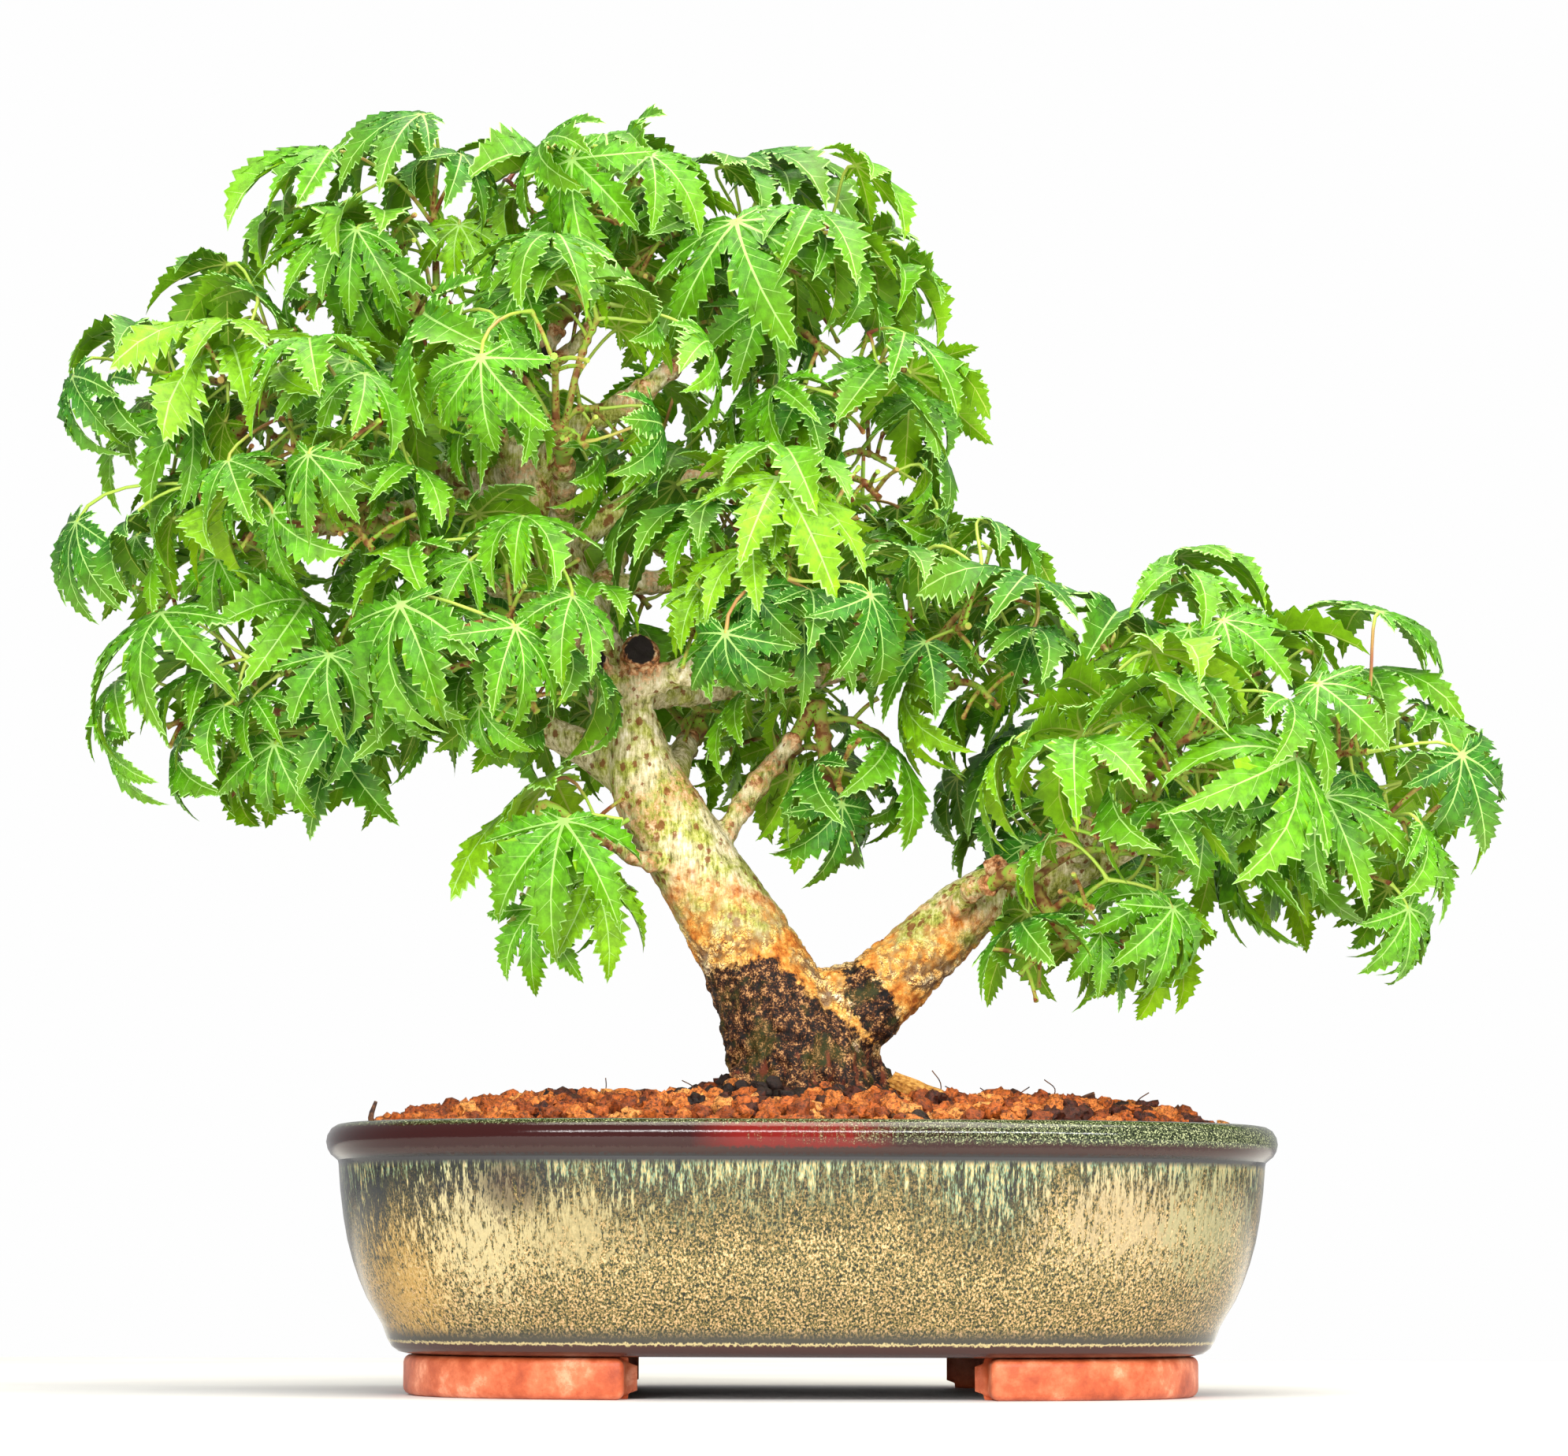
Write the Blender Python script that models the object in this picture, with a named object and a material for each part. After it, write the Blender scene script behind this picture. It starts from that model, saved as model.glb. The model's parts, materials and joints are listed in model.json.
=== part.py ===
"""Japanese maple grown as a bonsai in a shallow glazed pot.

Run with: blender --background --python part.py
Metres, +Z up. X runs along the pot's long side, Y from its front to its back, and z = 0 is the table
under the pot's four feet. Sizes below are in millimetres and are scaled by MM where they are used.
"""

import math
import random

import bmesh
import bpy
from mathutils import Matrix, Vector
from mathutils.bvhtree import BVHTree

MM = 0.001
GAP = 0.3  # clear space between solids that rest on each other
WELD = 1e-6  # points closer than this, in metres, are one

# ---- Pot: a rounded rectangle in plan, thrown with a rolled lip, on four corner feet
POT_LENGTH = 250.0
POT_DEPTH = 190.0
PLAN_POWER = 3.2  # 2 would be an ellipse; more is squarer
PLAN_STEPS = 36
FOOT_HEIGHT = 10.5
# (inset from the lip's outer edge, height), from the underside up the outside, over the lip, and down inside
POT_PROFILE = (
    (20.0, 10.8), (17.3, 12.8), (15.0, 18.2), (11.0, 25.0), (7.3, 34.5), (4.7, 46.0), (3.3, 60.0),
    (0.7, 62.6), (0.0, 65.6), (1.2, 69.0), (4.4, 70.0), (8.6, 68.4), (10.8, 59.0), (13.0, 40.0),
    (21.0, 22.0), (27.0, 18.5),
)
FOOT_INSET = 20.6  # outer face of a foot, from the lip's outer edge
FOOT_WALL = 13.0
FOOT_FROM = 46.0  # distance from the pot's middle to a foot's inner end, along the long side
FOOT_BACK = 18.0  # and along the short side
FOOT_TAPER = 1.2  # how far the foot draws in towards the table,
FOOT_TAPER_HEIGHT = 0.3  # over this share of its height
FOOT_STEPS = 6

# ---- Soil: heaped above the lip towards the trunk, with a level place for it
INNER_WALL = POT_PROFILE[-5:]
GROUND = 79.0
SOIL_MOUND = ((10.6, 68.9), (16.0, 72.0), (28.0, 75.0), (44.0, 77.4), (60.0, GROUND - GAP))

# ---- Limbs: (x, y, z, radius) along each centre line
TRUNK = (
    (2, 0, 74, 19.0), (0, 0, 84, 18.4), (-4, 0, 96, 17.2), (-10, 0, 109, 14.6), (-20, 0, 127, 12.6),
    (-32, 0, 146, 11.6), (-40.5, -1, 160, 10.4), (-44, -2, 172, 7.6), (-45, -3, 182, 5.4), (-45, -4, 197, 4.9),
)
ROUND_STEPS_FROM = (4.0, 12.0)  # a limb thicker than these takes one and two more steps round a quarter
ROOT_COUNT = 7
ROOT_REACH = 27.0  # how far the flare's toes stand from the trunk's middle,
ROOT_REACHES = (0.85, 1.05)  # the least and most of them, as shares of it,
ROOT_DEPTH = 0.8  # and their reach from front to back, as a share of that from side to side
ROOT_STRAY = 0.25  # how far a toe turns from its even place, in radians
TOE_HEAD = (8, 17, 8.5)  # distance out, height above the ground and radius where a toe leaves the trunk,
TOE_KNEE = (15, 5, 7.0)  # where it bends,
TOE_TIP = (-4, 4.0)  # and the height and radius of its end, just under the ground
CUTTER_SIZE = 200.0
LIMBS = {  # name: (parent, centre line), where the first point lies inside the parent
    "leader": ("trunk", ((-38, 1, 156, 9.2), (-46, 2, 176, 8.2), (-55, 4, 198, 7.4), (-69, 4, 232, 6.0),
                         (-84, 2, 262, 4.8), (-93, 0, 279, 3.6))),
    "right_bough": ("trunk", ((2, 0, 92, 12.0), (12, 0, 98, 11.6), (28, 0, 113, 9.9), (47, 1, 130, 8.6),
                              (66, 2, 137, 6.8), (82, 1, 144, 5.2), (100, 0, 154, 3.6), (113, 0, 160, 3.0))),
    "low_left_bough": ("trunk", ((-40, 0, 158, 5.8), (-52, 4, 168, 5.2), (-68, 6, 177, 4.4),
                                 (-86, 4, 184, 3.6), (-106, 0, 187, 2.8))),
    "mid_left_bough": ("leader", ((-62, 4, 215, 4.0), (-76, -5, 214, 3.6), (-92, -12, 219, 3.2),
                                  (-108, -16, 226, 2.6))),
    "skirt_bough": ("leader", ((-72, 4, 240, 3.8), (-92, 10, 240, 3.4), (-114, 10, 236, 2.9),
                               (-134, 6, 232, 2.4))),
    "shoulder_bough": ("leader", ((-84, 2, 262, 3.6), (-101, 6, 267, 3.2), (-118, 6, 268, 2.8),
                                  (-132, 3, 268, 2.3))),
    "apex_bough": ("leader", ((-82, 2, 258, 3.9), (-75, 4, 274, 3.4), (-67, 5, 288, 2.7))),
    "upper_right_bough": ("leader", ((-74, 4, 244, 4.0), (-62, 0, 258, 3.6), (-48, -3, 265, 3.1),
                                     (-34, -3, 276, 2.4))),
    "right_shoulder_bough": ("leader", ((-66, 4, 226, 4.2), (-48, 9, 238, 3.6), (-28, 10, 247, 3.0),
                                        (-12, 8, 251, 2.4))),
    "front_bough": ("leader", ((-66, 4, 226, 3.8), (-64, -14, 238, 3.2), (-64, -30, 246, 2.5))),
    "front_low_bough": ("leader", ((-52, 3, 192, 3.8), (-60, -16, 197, 3.2), (-66, -32, 201, 2.4))),
    "middle_bough": ("trunk", ((-45, -3.5, 188, 3.8), (-34, -8, 191, 3.6), (-20, -12, 194, 3.1),
                               (-8, -13, 197, 2.5))),
    "bridge_bough": ("leader", ((-50, 3, 186, 4.0), (-28, 14, 189, 3.4), (-2, 17, 193, 2.9),
                                (24, 12, 196, 2.3))),
    "small_branch": ("trunk", ((-26, 1, 139, 3.2), (-18, 3, 153, 2.9), (-9, 4, 166, 2.7), (-1, 4, 176, 2.3))),
    "spur": ("trunk", ((-30, -4, 140, 2.8), (-44, -11, 141, 2.1), (-53, -13, 147, 1.9), (-60, -14, 150, 1.6))),
    "back_bough": ("leader", ((-58, 4, 205, 4.6), (-54, 22, 218, 3.9), (-50, 38, 230, 3.0))),
    "back_left_bough": ("leader", ((-76, 3, 247, 4.0), (-90, 20, 249, 3.4), (-104, 34, 252, 2.6))),
    "back_right_bough": ("back_bough", ((-54, 22, 218, 3.2), (-34, 30, 222, 2.9), (-14, 36, 225, 2.4))),
    "back_low_bough": ("trunk", ((-38, 0, 156, 5.0), (-34, 18, 168, 4.0), (-30, 34, 178, 3.0))),
    "right_top_bough": ("right_bough", ((66, 2, 137, 4.4), (78, 8, 154, 3.7), (88, 10, 170, 2.8))),
    "right_front_bough": ("right_bough", ((72, 2, 139.6, 3.8), (78, -14, 149, 3.3), (84, -27, 156, 2.5))),
    "right_back_bough": ("right_bough", ((58, 2, 134.4, 4.2), (68, 18, 146, 3.6), (78, 32, 154, 2.7))),
    "right_low_bough": ("right_bough", ((40, 1, 124, 3.8), (44, -13, 132, 2.9), (50, -22, 134, 2.2))),
}

# ---- Foliage: each mass keeps to its own rounded space about a middle, and grows from a limb's tip
# name: (limb, middle, half sizes, leaves looked for)
MASSES = {
    "apex_leaves": ("apex_bough", (-58, 0, 309), (50, 56, 39), 13),
    "top_left_leaves": ("leader", (-114, 0, 304), (47, 48, 43), 11),
    "top_right_leaves": ("upper_right_bough", (-6, 0, 298), (48, 50, 43), 12),
    "left_shoulder_leaves": ("shoulder_bough", (-157, 0, 262), (44, 50, 46), 10),
    "right_shoulder_leaves": ("right_shoulder_bough", (12, 4, 258), (42, 50, 48), 11),
    "front_leaves": ("front_bough", (-68, -46, 262), (48, 44, 44), 11),
    "front_left_leaves": ("mid_left_bough", (-124, -38, 238), (46, 44, 46), 10),
    "left_skirt_leaves": ("skirt_bough", (-162, 6, 226), (42, 48, 42), 9),
    "front_low_leaves": ("front_low_bough", (-80, -44, 194), (44, 42, 44), 10),
    "middle_leaves": ("middle_bough", (-8, -34, 212), (50, 46, 46), 12),
    "low_left_leaves": ("low_left_bough", (-140, -6, 182), (56, 52, 40), 14),
    "bridge_leaves": ("bridge_bough", (42, 4, 200), (44, 46, 38), 10),
    "small_branch_leaves": ("small_branch", (8, 4, 164), (36, 44, 36), 6),
    "spur_leaves": ("spur", (-66, -16, 134), (34, 30, 38), 5),
    "back_leaves": ("back_bough", (-54, 60, 240), (52, 44, 52), 11),
    "back_left_leaves": ("back_left_bough", (-116, 54, 250), (50, 44, 50), 10),
    "back_right_leaves": ("back_right_bough", (8, 54, 230), (48, 42, 46), 10),
    "back_low_leaves": ("back_low_bough", (-30, 54, 186), (56, 44, 38), 9),
    "right_top_leaves": ("right_top_bough", (102, 6, 190), (54, 50, 40), 13),
    "right_outer_leaves": ("right_bough", (148, 0, 160), (44, 50, 54), 15),
    "right_front_leaves": ("right_front_bough", (94, -42, 158), (50, 44, 42), 9),
    "right_back_leaves": ("right_back_bough", (88, 46, 160), (54, 44, 46), 10),
    "right_low_leaves": ("right_low_bough", (72, -26, 126), (48, 42, 38), 9),
}
CROWN_AXIS = Vector((-60.0, 0.0, 230.0))  # the left-hand crown flows outwards from here
PAD_AXIS = Vector((84.0, 0.0, 150.0))  # and the low right-hand pad from here
PAD_FROM_X = 30.0  # masses beyond this belong to the pad
CROWN_HALF = (110.0, 90.0)  # half sizes over which a leaf's heading turns outwards from its axis,
OWN_HEADING = 0.6  # next to the weight of its own way out of its mass
HEADING_STRAY = 0.4  # radians either way
FALL, FALL_EASED, FALL_STRAY = 36, 30, 8  # degrees a leaf hangs: on the sides, less at the top, and stray
TILT_OUT = 0.35  # how far a blade's face leans outwards from straight up
ROLL_STRAY = 0.2  # radians about its middle lobe
LEAF_LENGTH = (36.0, 46.0)  # middle lobe, blade base to tip
LEAF_THICKNESS = 1.0
LEAF_DROOP = 0.26  # how far a lobe's tip hangs below its base, as a share of its length,
NOTCH_DROOP = 0.3  # and a notch, as a share of that
LOBES = ((-84, 0.60), (-43, 0.88), (0, 1.0), (43, 0.88), (84, 0.60))  # (angle, length as a share)
NOTCH = 0.54  # the notches' distance from the blade's base, as a share of the neighbouring lobes
BASE_NOTCH = 0.06
POLE_AT = 0.1  # the thickest place, from the blade's base
STALK_RADIUS = 0.75
MOST_STALK = 38.0
STALK_FOOT = 0.35  # its radius where it is sunk in its twig
STEM_LEAST = 2.2
TWIG_RADII = (0.9, 1.6, 1.3)  # foot, knee and tip
LEAVES_PER_TWIG = 3
NODES_TRIED = 12
NODE_BEHIND = 0.1  # a leaf's node lies at least this share of its length behind its blade
NODES_AT = (0.88, 0.63, 0.38, 0.13)  # where leaves join a twig, as shares of its outer half
LEAST_TWIGS = 3
TWIG_REACH = 0.45  # a twig's tip, as a share of its mass's half sizes
KNEE_RISE = 0.15  # how far a twig arches up, as a share of its length
HEART_BELOW = 0.25  # where a stem ends below its mass's middle, as a share of the half height
BEND_AT = 0.4  # a stem bends here, as a share of its length, and thins to these shares of its foot
STEM_TAPER = (0.9, 0.7)
INNER_SHARE = 0.2  # of a mass's leaves, these stand inside the others
INNER_AT = 0.66
TRIES_PER_LEAF = 90
STRAY, STRAY_MORE = 0.05, 0.008  # how far a leaf's place strays at the first try, and more at each after it
DRAWN_IN = 0.003  # and how far it is drawn in at each
LEAST_LEAF = 0.35  # how much shorter a leaf may be where there is little room
CELL_EASE = 0.14  # how far a tip may stand into a neighbour's space, as a share of its half size

COLOURS = {  # base colour, roughness
    "glaze": ((0.30, 0.25, 0.12), 0.15),
    "terracotta": ((0.55, 0.16, 0.07), 0.6),
    "akadama": ((0.42, 0.15, 0.05), 0.95),
    "bark": ((0.42, 0.33, 0.22), 0.85),
    "leaf": ((0.12, 0.36, 0.07), 0.5),
}


def clear_scene():
    for thing in list(bpy.data.objects):
        bpy.data.objects.remove(thing, do_unlink=True)


def collection(name):
    made = bpy.data.collections.new(name)
    bpy.context.scene.collection.children.link(made)
    return made


def material(name):
    colour, roughness = COLOURS[name]
    made = bpy.data.materials.new(name)
    made.use_nodes = True
    shader = made.node_tree.nodes["Principled BSDF"]
    shader.inputs["Base Color"].default_value = (*colour, 1.0)
    shader.inputs["Roughness"].default_value = roughness
    return made


def object_from(mesh, name, home, finish):
    made = bpy.data.objects.new(name, mesh)
    mesh.materials.clear()
    mesh.materials.append(finish)
    home.objects.link(made)
    return made


def evaluated_mesh(thing):
    graph = bpy.context.evaluated_depsgraph_get()
    return bpy.data.meshes.new_from_object(thing.evaluated_get(graph))


def smooth(mesh, degrees=40):
    mesh.shade_smooth()
    mesh.set_sharp_from_angle(angle=math.radians(degrees))


# ------------------------------------------------------------------ pot, feet and soil


def plan_outline(inset, angles=None):
    """Points of the pot's plan, drawn in from the lip's outer edge by inset."""
    half_x = POT_LENGTH / 2 - inset
    half_y = POT_DEPTH / 2 - inset
    angles = angles or [2 * math.pi * i / PLAN_STEPS for i in range(PLAN_STEPS)]
    power = 2 / PLAN_POWER
    points = []
    for angle in angles:
        c, s = math.cos(angle), math.sin(angle)
        x = half_x * math.copysign(abs(c) ** power, c)
        y = half_y * math.copysign(abs(s) ** power, s)
        points.append((x, y))
    return points


def stacked(name, rings, home, finish):
    """A closed solid: the first outline's face, extruded in turn to each outline above it."""
    bm = bmesh.new()
    outline, height = rings[0]
    top = bm.faces.new([bm.verts.new(Vector((x, y, height)) * MM) for x, y in outline])
    top.copy().normal_flip()
    for outline, height in rings[1:]:
        top = bmesh.ops.extrude_discrete_faces(bm, faces=[top])["faces"][0]
        for corner, (x, y) in zip(top.verts, outline):
            corner.co = Vector((x, y, height)) * MM
    bmesh.ops.remove_doubles(bm, verts=bm.verts, dist=WELD)
    bmesh.ops.recalc_face_normals(bm, faces=bm.faces)
    mesh = bpy.data.meshes.new(name)
    bm.to_mesh(mesh)
    bm.free()
    smooth(mesh)
    return object_from(mesh, name, home, finish)


def make_pot(home, finish):
    rings = [(plan_outline(inset), height) for inset, height in POT_PROFILE]
    return stacked("pot", rings, home, finish)


def make_feet(home, finish):
    """Four pads under the corners, each an arc of the plan with a wall of its own."""
    half_x = POT_LENGTH / 2 - FOOT_INSET
    half_y = POT_DEPTH / 2 - FOOT_INSET
    start = math.acos((FOOT_FROM / half_x) ** (PLAN_POWER / 2))
    end = math.asin((FOOT_BACK / half_y) ** (PLAN_POWER / 2))
    for side_x, across in ((1, "right"), (-1, "left")):
        for side_y, along in ((-1, "front"), (1, "back")):
            angles = [start + (end - start) * i / FOOT_STEPS for i in range(FOOT_STEPS + 1)]

            def foot_outline(inset):
                outer = plan_outline(inset, angles)
                inner = plan_outline(2 * FOOT_INSET + FOOT_WALL - inset, angles[::-1])
                return [(side_x * x, side_y * y) for x, y in outer + inner]

            rings = [
                (foot_outline(FOOT_INSET + FOOT_TAPER), 0.0),
                (foot_outline(FOOT_INSET), FOOT_HEIGHT * FOOT_TAPER_HEIGHT),
                (foot_outline(FOOT_INSET), FOOT_HEIGHT),
            ]
            stacked(f"foot_{along}_{across}", rings, home, finish)


def make_soil(home, finish):
    """Fills the pot to its inner wall and rises to a level place for the trunk."""
    wall = [(inset + GAP, max(height, INNER_WALL[-1][1] + GAP)) for inset, height in reversed(INNER_WALL)]
    rings = [(plan_outline(inset), height) for inset, height in (*wall, *SOIL_MOUND)]
    return stacked("soil", rings, home, finish)


# ------------------------------------------------------------------ limbs


def along(points, steps_per_span=2):
    """Catmull-Rom samples through (x, y, z, radius) points, as (Vector, radius) pairs."""
    rows = [Vector((*p[:3], 0)) + Vector((0, 0, 0, p[3])) for p in points]
    rows = [rows[0] * 2 - rows[1], *rows, rows[-1] * 2 - rows[-2]]
    samples = []
    for i in range(1, len(rows) - 2):
        a, b, c, d = rows[i - 1 : i + 3]
        for step in range(steps_per_span):
            t = step / steps_per_span
            samples.append(
                b + ((c - a) * t + (2 * a - 5 * b + 4 * c - d) * t**2 + (3 * b - a - 3 * c + d) * t**3) / 2
            )
    samples.append(rows[-2])
    return [(Vector(s[:3]), s[3]) for s in samples]


def tube_mesh(samples, round_steps, section=None, grow=0.0):
    """A tapering tube with closed ends: a bevelled curve whose points carry the radius."""
    data = bpy.data.curves.new("tube", "CURVE")
    data.dimensions = "3D"
    data.twist_mode = "MINIMUM"
    spline = data.splines.new("POLY")
    spline.points.add(len(samples) - 1)
    for point, (place, radius) in zip(spline.points, samples):
        point.co = (*(place * MM), 1.0)
        point.radius = radius + grow
    if section:
        data.bevel_mode = "OBJECT"
        data.bevel_object = section
    else:
        data.bevel_depth = MM
        data.bevel_resolution = round_steps
    data.use_fill_caps = True
    guide = bpy.data.objects.new("tube", data)
    bpy.context.scene.collection.objects.link(guide)
    mesh = evaluated_mesh(guide)
    bpy.data.objects.remove(guide)
    bm = bmesh.new()
    bm.from_mesh(mesh)
    bmesh.ops.remove_doubles(bm, verts=bm.verts, dist=WELD)
    bmesh.ops.recalc_face_normals(bm, faces=bm.faces)
    bm.to_mesh(mesh)
    bm.free()
    return mesh


def boolean(thing, operation, others, solver="EXACT"):
    """Applies one Boolean of the objects in the collection others, and removes them."""
    modifier = thing.modifiers.new(operation.lower(), "BOOLEAN")
    modifier.operation = operation
    modifier.operand_type = "COLLECTION"
    modifier.collection = others
    modifier.solver = solver
    mesh = evaluated_mesh(thing)
    thing.modifiers.clear()
    thing.data = mesh
    for other in list(others.objects):
        bpy.data.objects.remove(other)
    bpy.data.collections.remove(others)


def keep_outer_shell(mesh):
    """Drops loose scraps and sealed hollows: what stays is the shell with the largest box."""
    bm = bmesh.new()
    bm.from_mesh(mesh)
    bmesh.ops.remove_doubles(bm, verts=bm.verts, dist=WELD)
    bmesh.ops.dissolve_degenerate(bm, edges=bm.edges, dist=WELD)
    unseen = set(bm.faces)
    shells = []
    while unseen:
        shell = [unseen.pop()]
        for face in shell:
            for edge in face.edges:
                for other in edge.link_faces:
                    if other in unseen:
                        unseen.remove(other)
                        shell.append(other)
        shells.append(shell)
    shells.sort(key=lambda shell: sum(face.calc_area() for face in shell))
    scraps = [face for shell in shells[:-1] for face in shell]
    bmesh.ops.delete(bm, geom=scraps, context="FACES")
    bmesh.ops.dissolve_limit(bm, angle_limit=math.radians(0.5), verts=bm.verts, edges=bm.edges)
    bmesh.ops.triangulate(bm, faces=bm.faces)
    bm.to_mesh(mesh)
    bm.free()


def root_toes():
    """The flare: toes that run from low on the trunk out into the soil, as lists of samples."""
    rng = random.Random(5)
    for i in range(ROOT_COUNT):
        angle = 2 * math.pi * i / ROOT_COUNT + rng.uniform(-ROOT_STRAY, ROOT_STRAY)
        out = Vector((math.cos(angle), ROOT_DEPTH * math.sin(angle), 0))
        reach = ROOT_REACH * rng.uniform(*ROOT_REACHES)
        base = Vector((1, 0, GROUND))
        yield [
            (base + out * far + Vector((0, 0, height)), radius)
            for far, height, radius in (TOE_HEAD, TOE_KNEE, (reach, *TOE_TIP))
        ]


def ground_cutter(home, finish):
    """A block whose top face is the level at which the trunk is cut."""
    bm = bmesh.new()
    bmesh.ops.create_cube(bm, size=CUTTER_SIZE * MM)
    bmesh.ops.translate(bm, verts=bm.verts, vec=(0, 0, (GROUND - CUTTER_SIZE / 2) * MM))
    mesh = bpy.data.meshes.new("below_ground")
    bm.to_mesh(mesh)
    bm.free()
    return object_from(mesh, "below_ground", home, finish)


def make_trunk(home, finish):
    trunk = object_from(limb_mesh("trunk"), "trunk", home, finish)
    toes = collection("toes")
    for samples in root_toes():
        object_from(tube_mesh(samples, 1), "toe", toes, finish)
    boolean(trunk, "UNION", toes, solver="MANIFOLD")
    below = collection("below")
    ground_cutter(below, finish)
    boolean(trunk, "DIFFERENCE", below, solver="MANIFOLD")
    keep_outer_shell(trunk.data)
    smooth(trunk.data)
    return trunk


def limb_mesh(name, grow=0.0):
    """A limb's whole tube, with grow added to its radius."""
    points = TRUNK if name == "trunk" else LIMBS[name][1]
    thickest = points[0][3]
    return tube_mesh(along(points), sum(thickest > size for size in ROUND_STEPS_FROM) + 1, grow=grow)


def make_limb(name, earlier, home, finish):
    """One tapering limb, cut to stand GAP clear of each earlier limb that it runs into."""
    limb = object_from(limb_mesh(name), name, home, finish)
    tree = BVHTree.FromBMesh(mesh_in_mm(limb.data))
    others = collection(f"{name}_clear_of")
    grown = [limb_mesh(other, grow=GAP) for other in earlier]
    grown += [tube_mesh(samples, 1, grow=GAP) for samples in root_toes()]
    for shape in grown:
        if BVHTree.FromBMesh(mesh_in_mm(shape)).overlap(tree):
            object_from(shape, "grown", others, finish)
    boolean(limb, "DIFFERENCE", others)
    keep_outer_shell(limb.data)
    smooth(limb.data)
    return limb


# ------------------------------------------------------------------ foliage


def triangle_section(home):
    """The three-sided section that twigs are drawn with."""
    data = bpy.data.curves.new("twig_section", "CURVE")
    data.dimensions = "2D"
    spline = data.splines.new("POLY")
    spline.points.add(2)
    spline.use_cyclic_u = True
    for i, point in enumerate(spline.points):
        angle = 2 * math.pi * i / 3
        point.co = (math.cos(angle) * MM, math.sin(angle) * MM, 0, 1)
    made = bpy.data.objects.new("twig_section", data)
    made.hide_render = True
    made.display_type = "WIRE"
    home.objects.link(made)
    return made


def leaf_outline(length):
    """Points round the blade's margin, from one side of its stalk to the other, tips and notches in turn."""
    points = [(-STALK_RADIUS, -BASE_NOTCH * length, 0)]
    for i, (angle, share) in enumerate(LOBES):
        reach = length * share
        turn = math.radians(angle)
        points.append((reach * math.sin(turn), reach * math.cos(turn), -LEAF_DROOP * reach * share))
        if i + 1 < len(LOBES):
            next_angle, next_share = LOBES[i + 1]
            turn = math.radians((angle + next_angle) / 2)
            reach = length * NOTCH * (share + next_share) / 2
            points.append((reach * math.sin(turn), reach * math.cos(turn), -LEAF_DROOP * NOTCH_DROOP * reach))
    points.append((STALK_RADIUS, -BASE_NOTCH * length, 0))
    return [Vector(point) for point in points]


def leaf_bmesh(length, frame, start):
    """A blade and its stalk: a two-ring sphere whose rim is drawn out into lobes, with the small facet
    between its stalk's sides drawn out to start."""
    outline = leaf_outline(length)
    bm = bmesh.new()
    bmesh.ops.create_uvsphere(bm, u_segments=len(outline), v_segments=2, radius=1.0)
    bm.verts.ensure_lookup_table()
    poles = [v for v in bm.verts if abs(v.co.z) > 0.5]
    rim = [v for v in bm.verts if abs(v.co.z) < 0.5]
    rim.sort(key=lambda v: math.atan2(v.co.x, v.co.y))
    for vertex, point in zip(rim, outline):
        vertex.co = point
    for pole in poles:
        pole.co = Vector((0, POLE_AT * length, math.copysign(LEAF_THICKNESS / 2, pole.co.z)))
    inverse = frame.inverted() @ start
    side = max(poles, key=lambda pole: pole.co.z * (1 if inverse.z > 0 else -1))
    facet = next(f for f in bm.faces if {rim[0], rim[-1], side} == set(f.verts))
    stalk = bmesh.ops.extrude_discrete_faces(bm, faces=[facet])["faces"][0]
    centre = Vector((0, -BASE_NOTCH * length, 0))
    way = (inverse - centre).normalized()
    middle = facet_middle(stalk)
    for corner in stalk.verts:
        out = corner.co - middle
        out = (out - way * out.dot(way)).normalized()
        corner.co = inverse + out * STALK_FOOT
    bmesh.ops.recalc_face_normals(bm, faces=bm.faces)
    bmesh.ops.transform(bm, matrix=frame, verts=bm.verts)
    return bm


def facet_middle(facet):
    return sum((corner.co for corner in facet.verts), Vector()) / len(facet.verts)


def blade_tree(length, frame):
    """The blade's two sides as a search tree, without its stalk."""
    rim = [frame @ point for point in leaf_outline(length)]
    faces = [(i, (i + 1) % len(rim), len(rim)) for i in range(len(rim))]
    return BVHTree.FromPolygons([*rim, frame @ Vector((0, POLE_AT * length, 0))], faces)


def share_out(name, point):
    """How far a point lies from the middle of a mass's space, as a share of its half sizes."""
    _, middle, half, _ = MASSES[name]
    return math.sqrt(sum(((point[i] - middle[i]) / half[i]) ** 2 for i in range(3)))


def clear_of_neighbours(name, points):
    """True if no point of a leaf stands further into a neighbour's space than into its own mass's."""
    for point in points:
        own = share_out(name, point)
        if any(share_out(other, point) < own - CELL_EASE for other in MASSES if other != name):
            return False
    return True


def golden_directions(count):
    """Unit vectors spread evenly over a sphere, from the top down."""
    turn = math.pi * (3 - math.sqrt(5))
    for i in range(count):
        z = 1 - 2 * (i + 0.5) / count
        flat = math.sqrt(1 - z * z)
        yield Vector((flat * math.cos(turn * i), flat * math.sin(turn * i), z))


def hanging_way(name, way, rng):
    """Where a leaf's middle lobe points: outwards from its crown, hanging more steeply down the sides."""
    middle, half = MASSES[name][1:3]
    axis = PAD_AXIS if middle[0] > PAD_FROM_X else CROWN_AXIS
    place = Vector([middle[i] + way[i] * half[i] for i in range(3)])
    out = Vector(((place.x - axis.x) / CROWN_HALF[0], (place.y - axis.y) / CROWN_HALF[1], 0))
    out += OWN_HEADING * Vector((way.x, way.y, 0))
    out = Matrix.Rotation(rng.gauss(0, HEADING_STRAY), 3, "Z") @ out.normalized()
    fall = math.radians(FALL - FALL_EASED * way.z + rng.gauss(0, FALL_STRAY))
    return (out * math.cos(fall) - Vector((0, 0, math.sin(fall)))).normalized()


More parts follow.
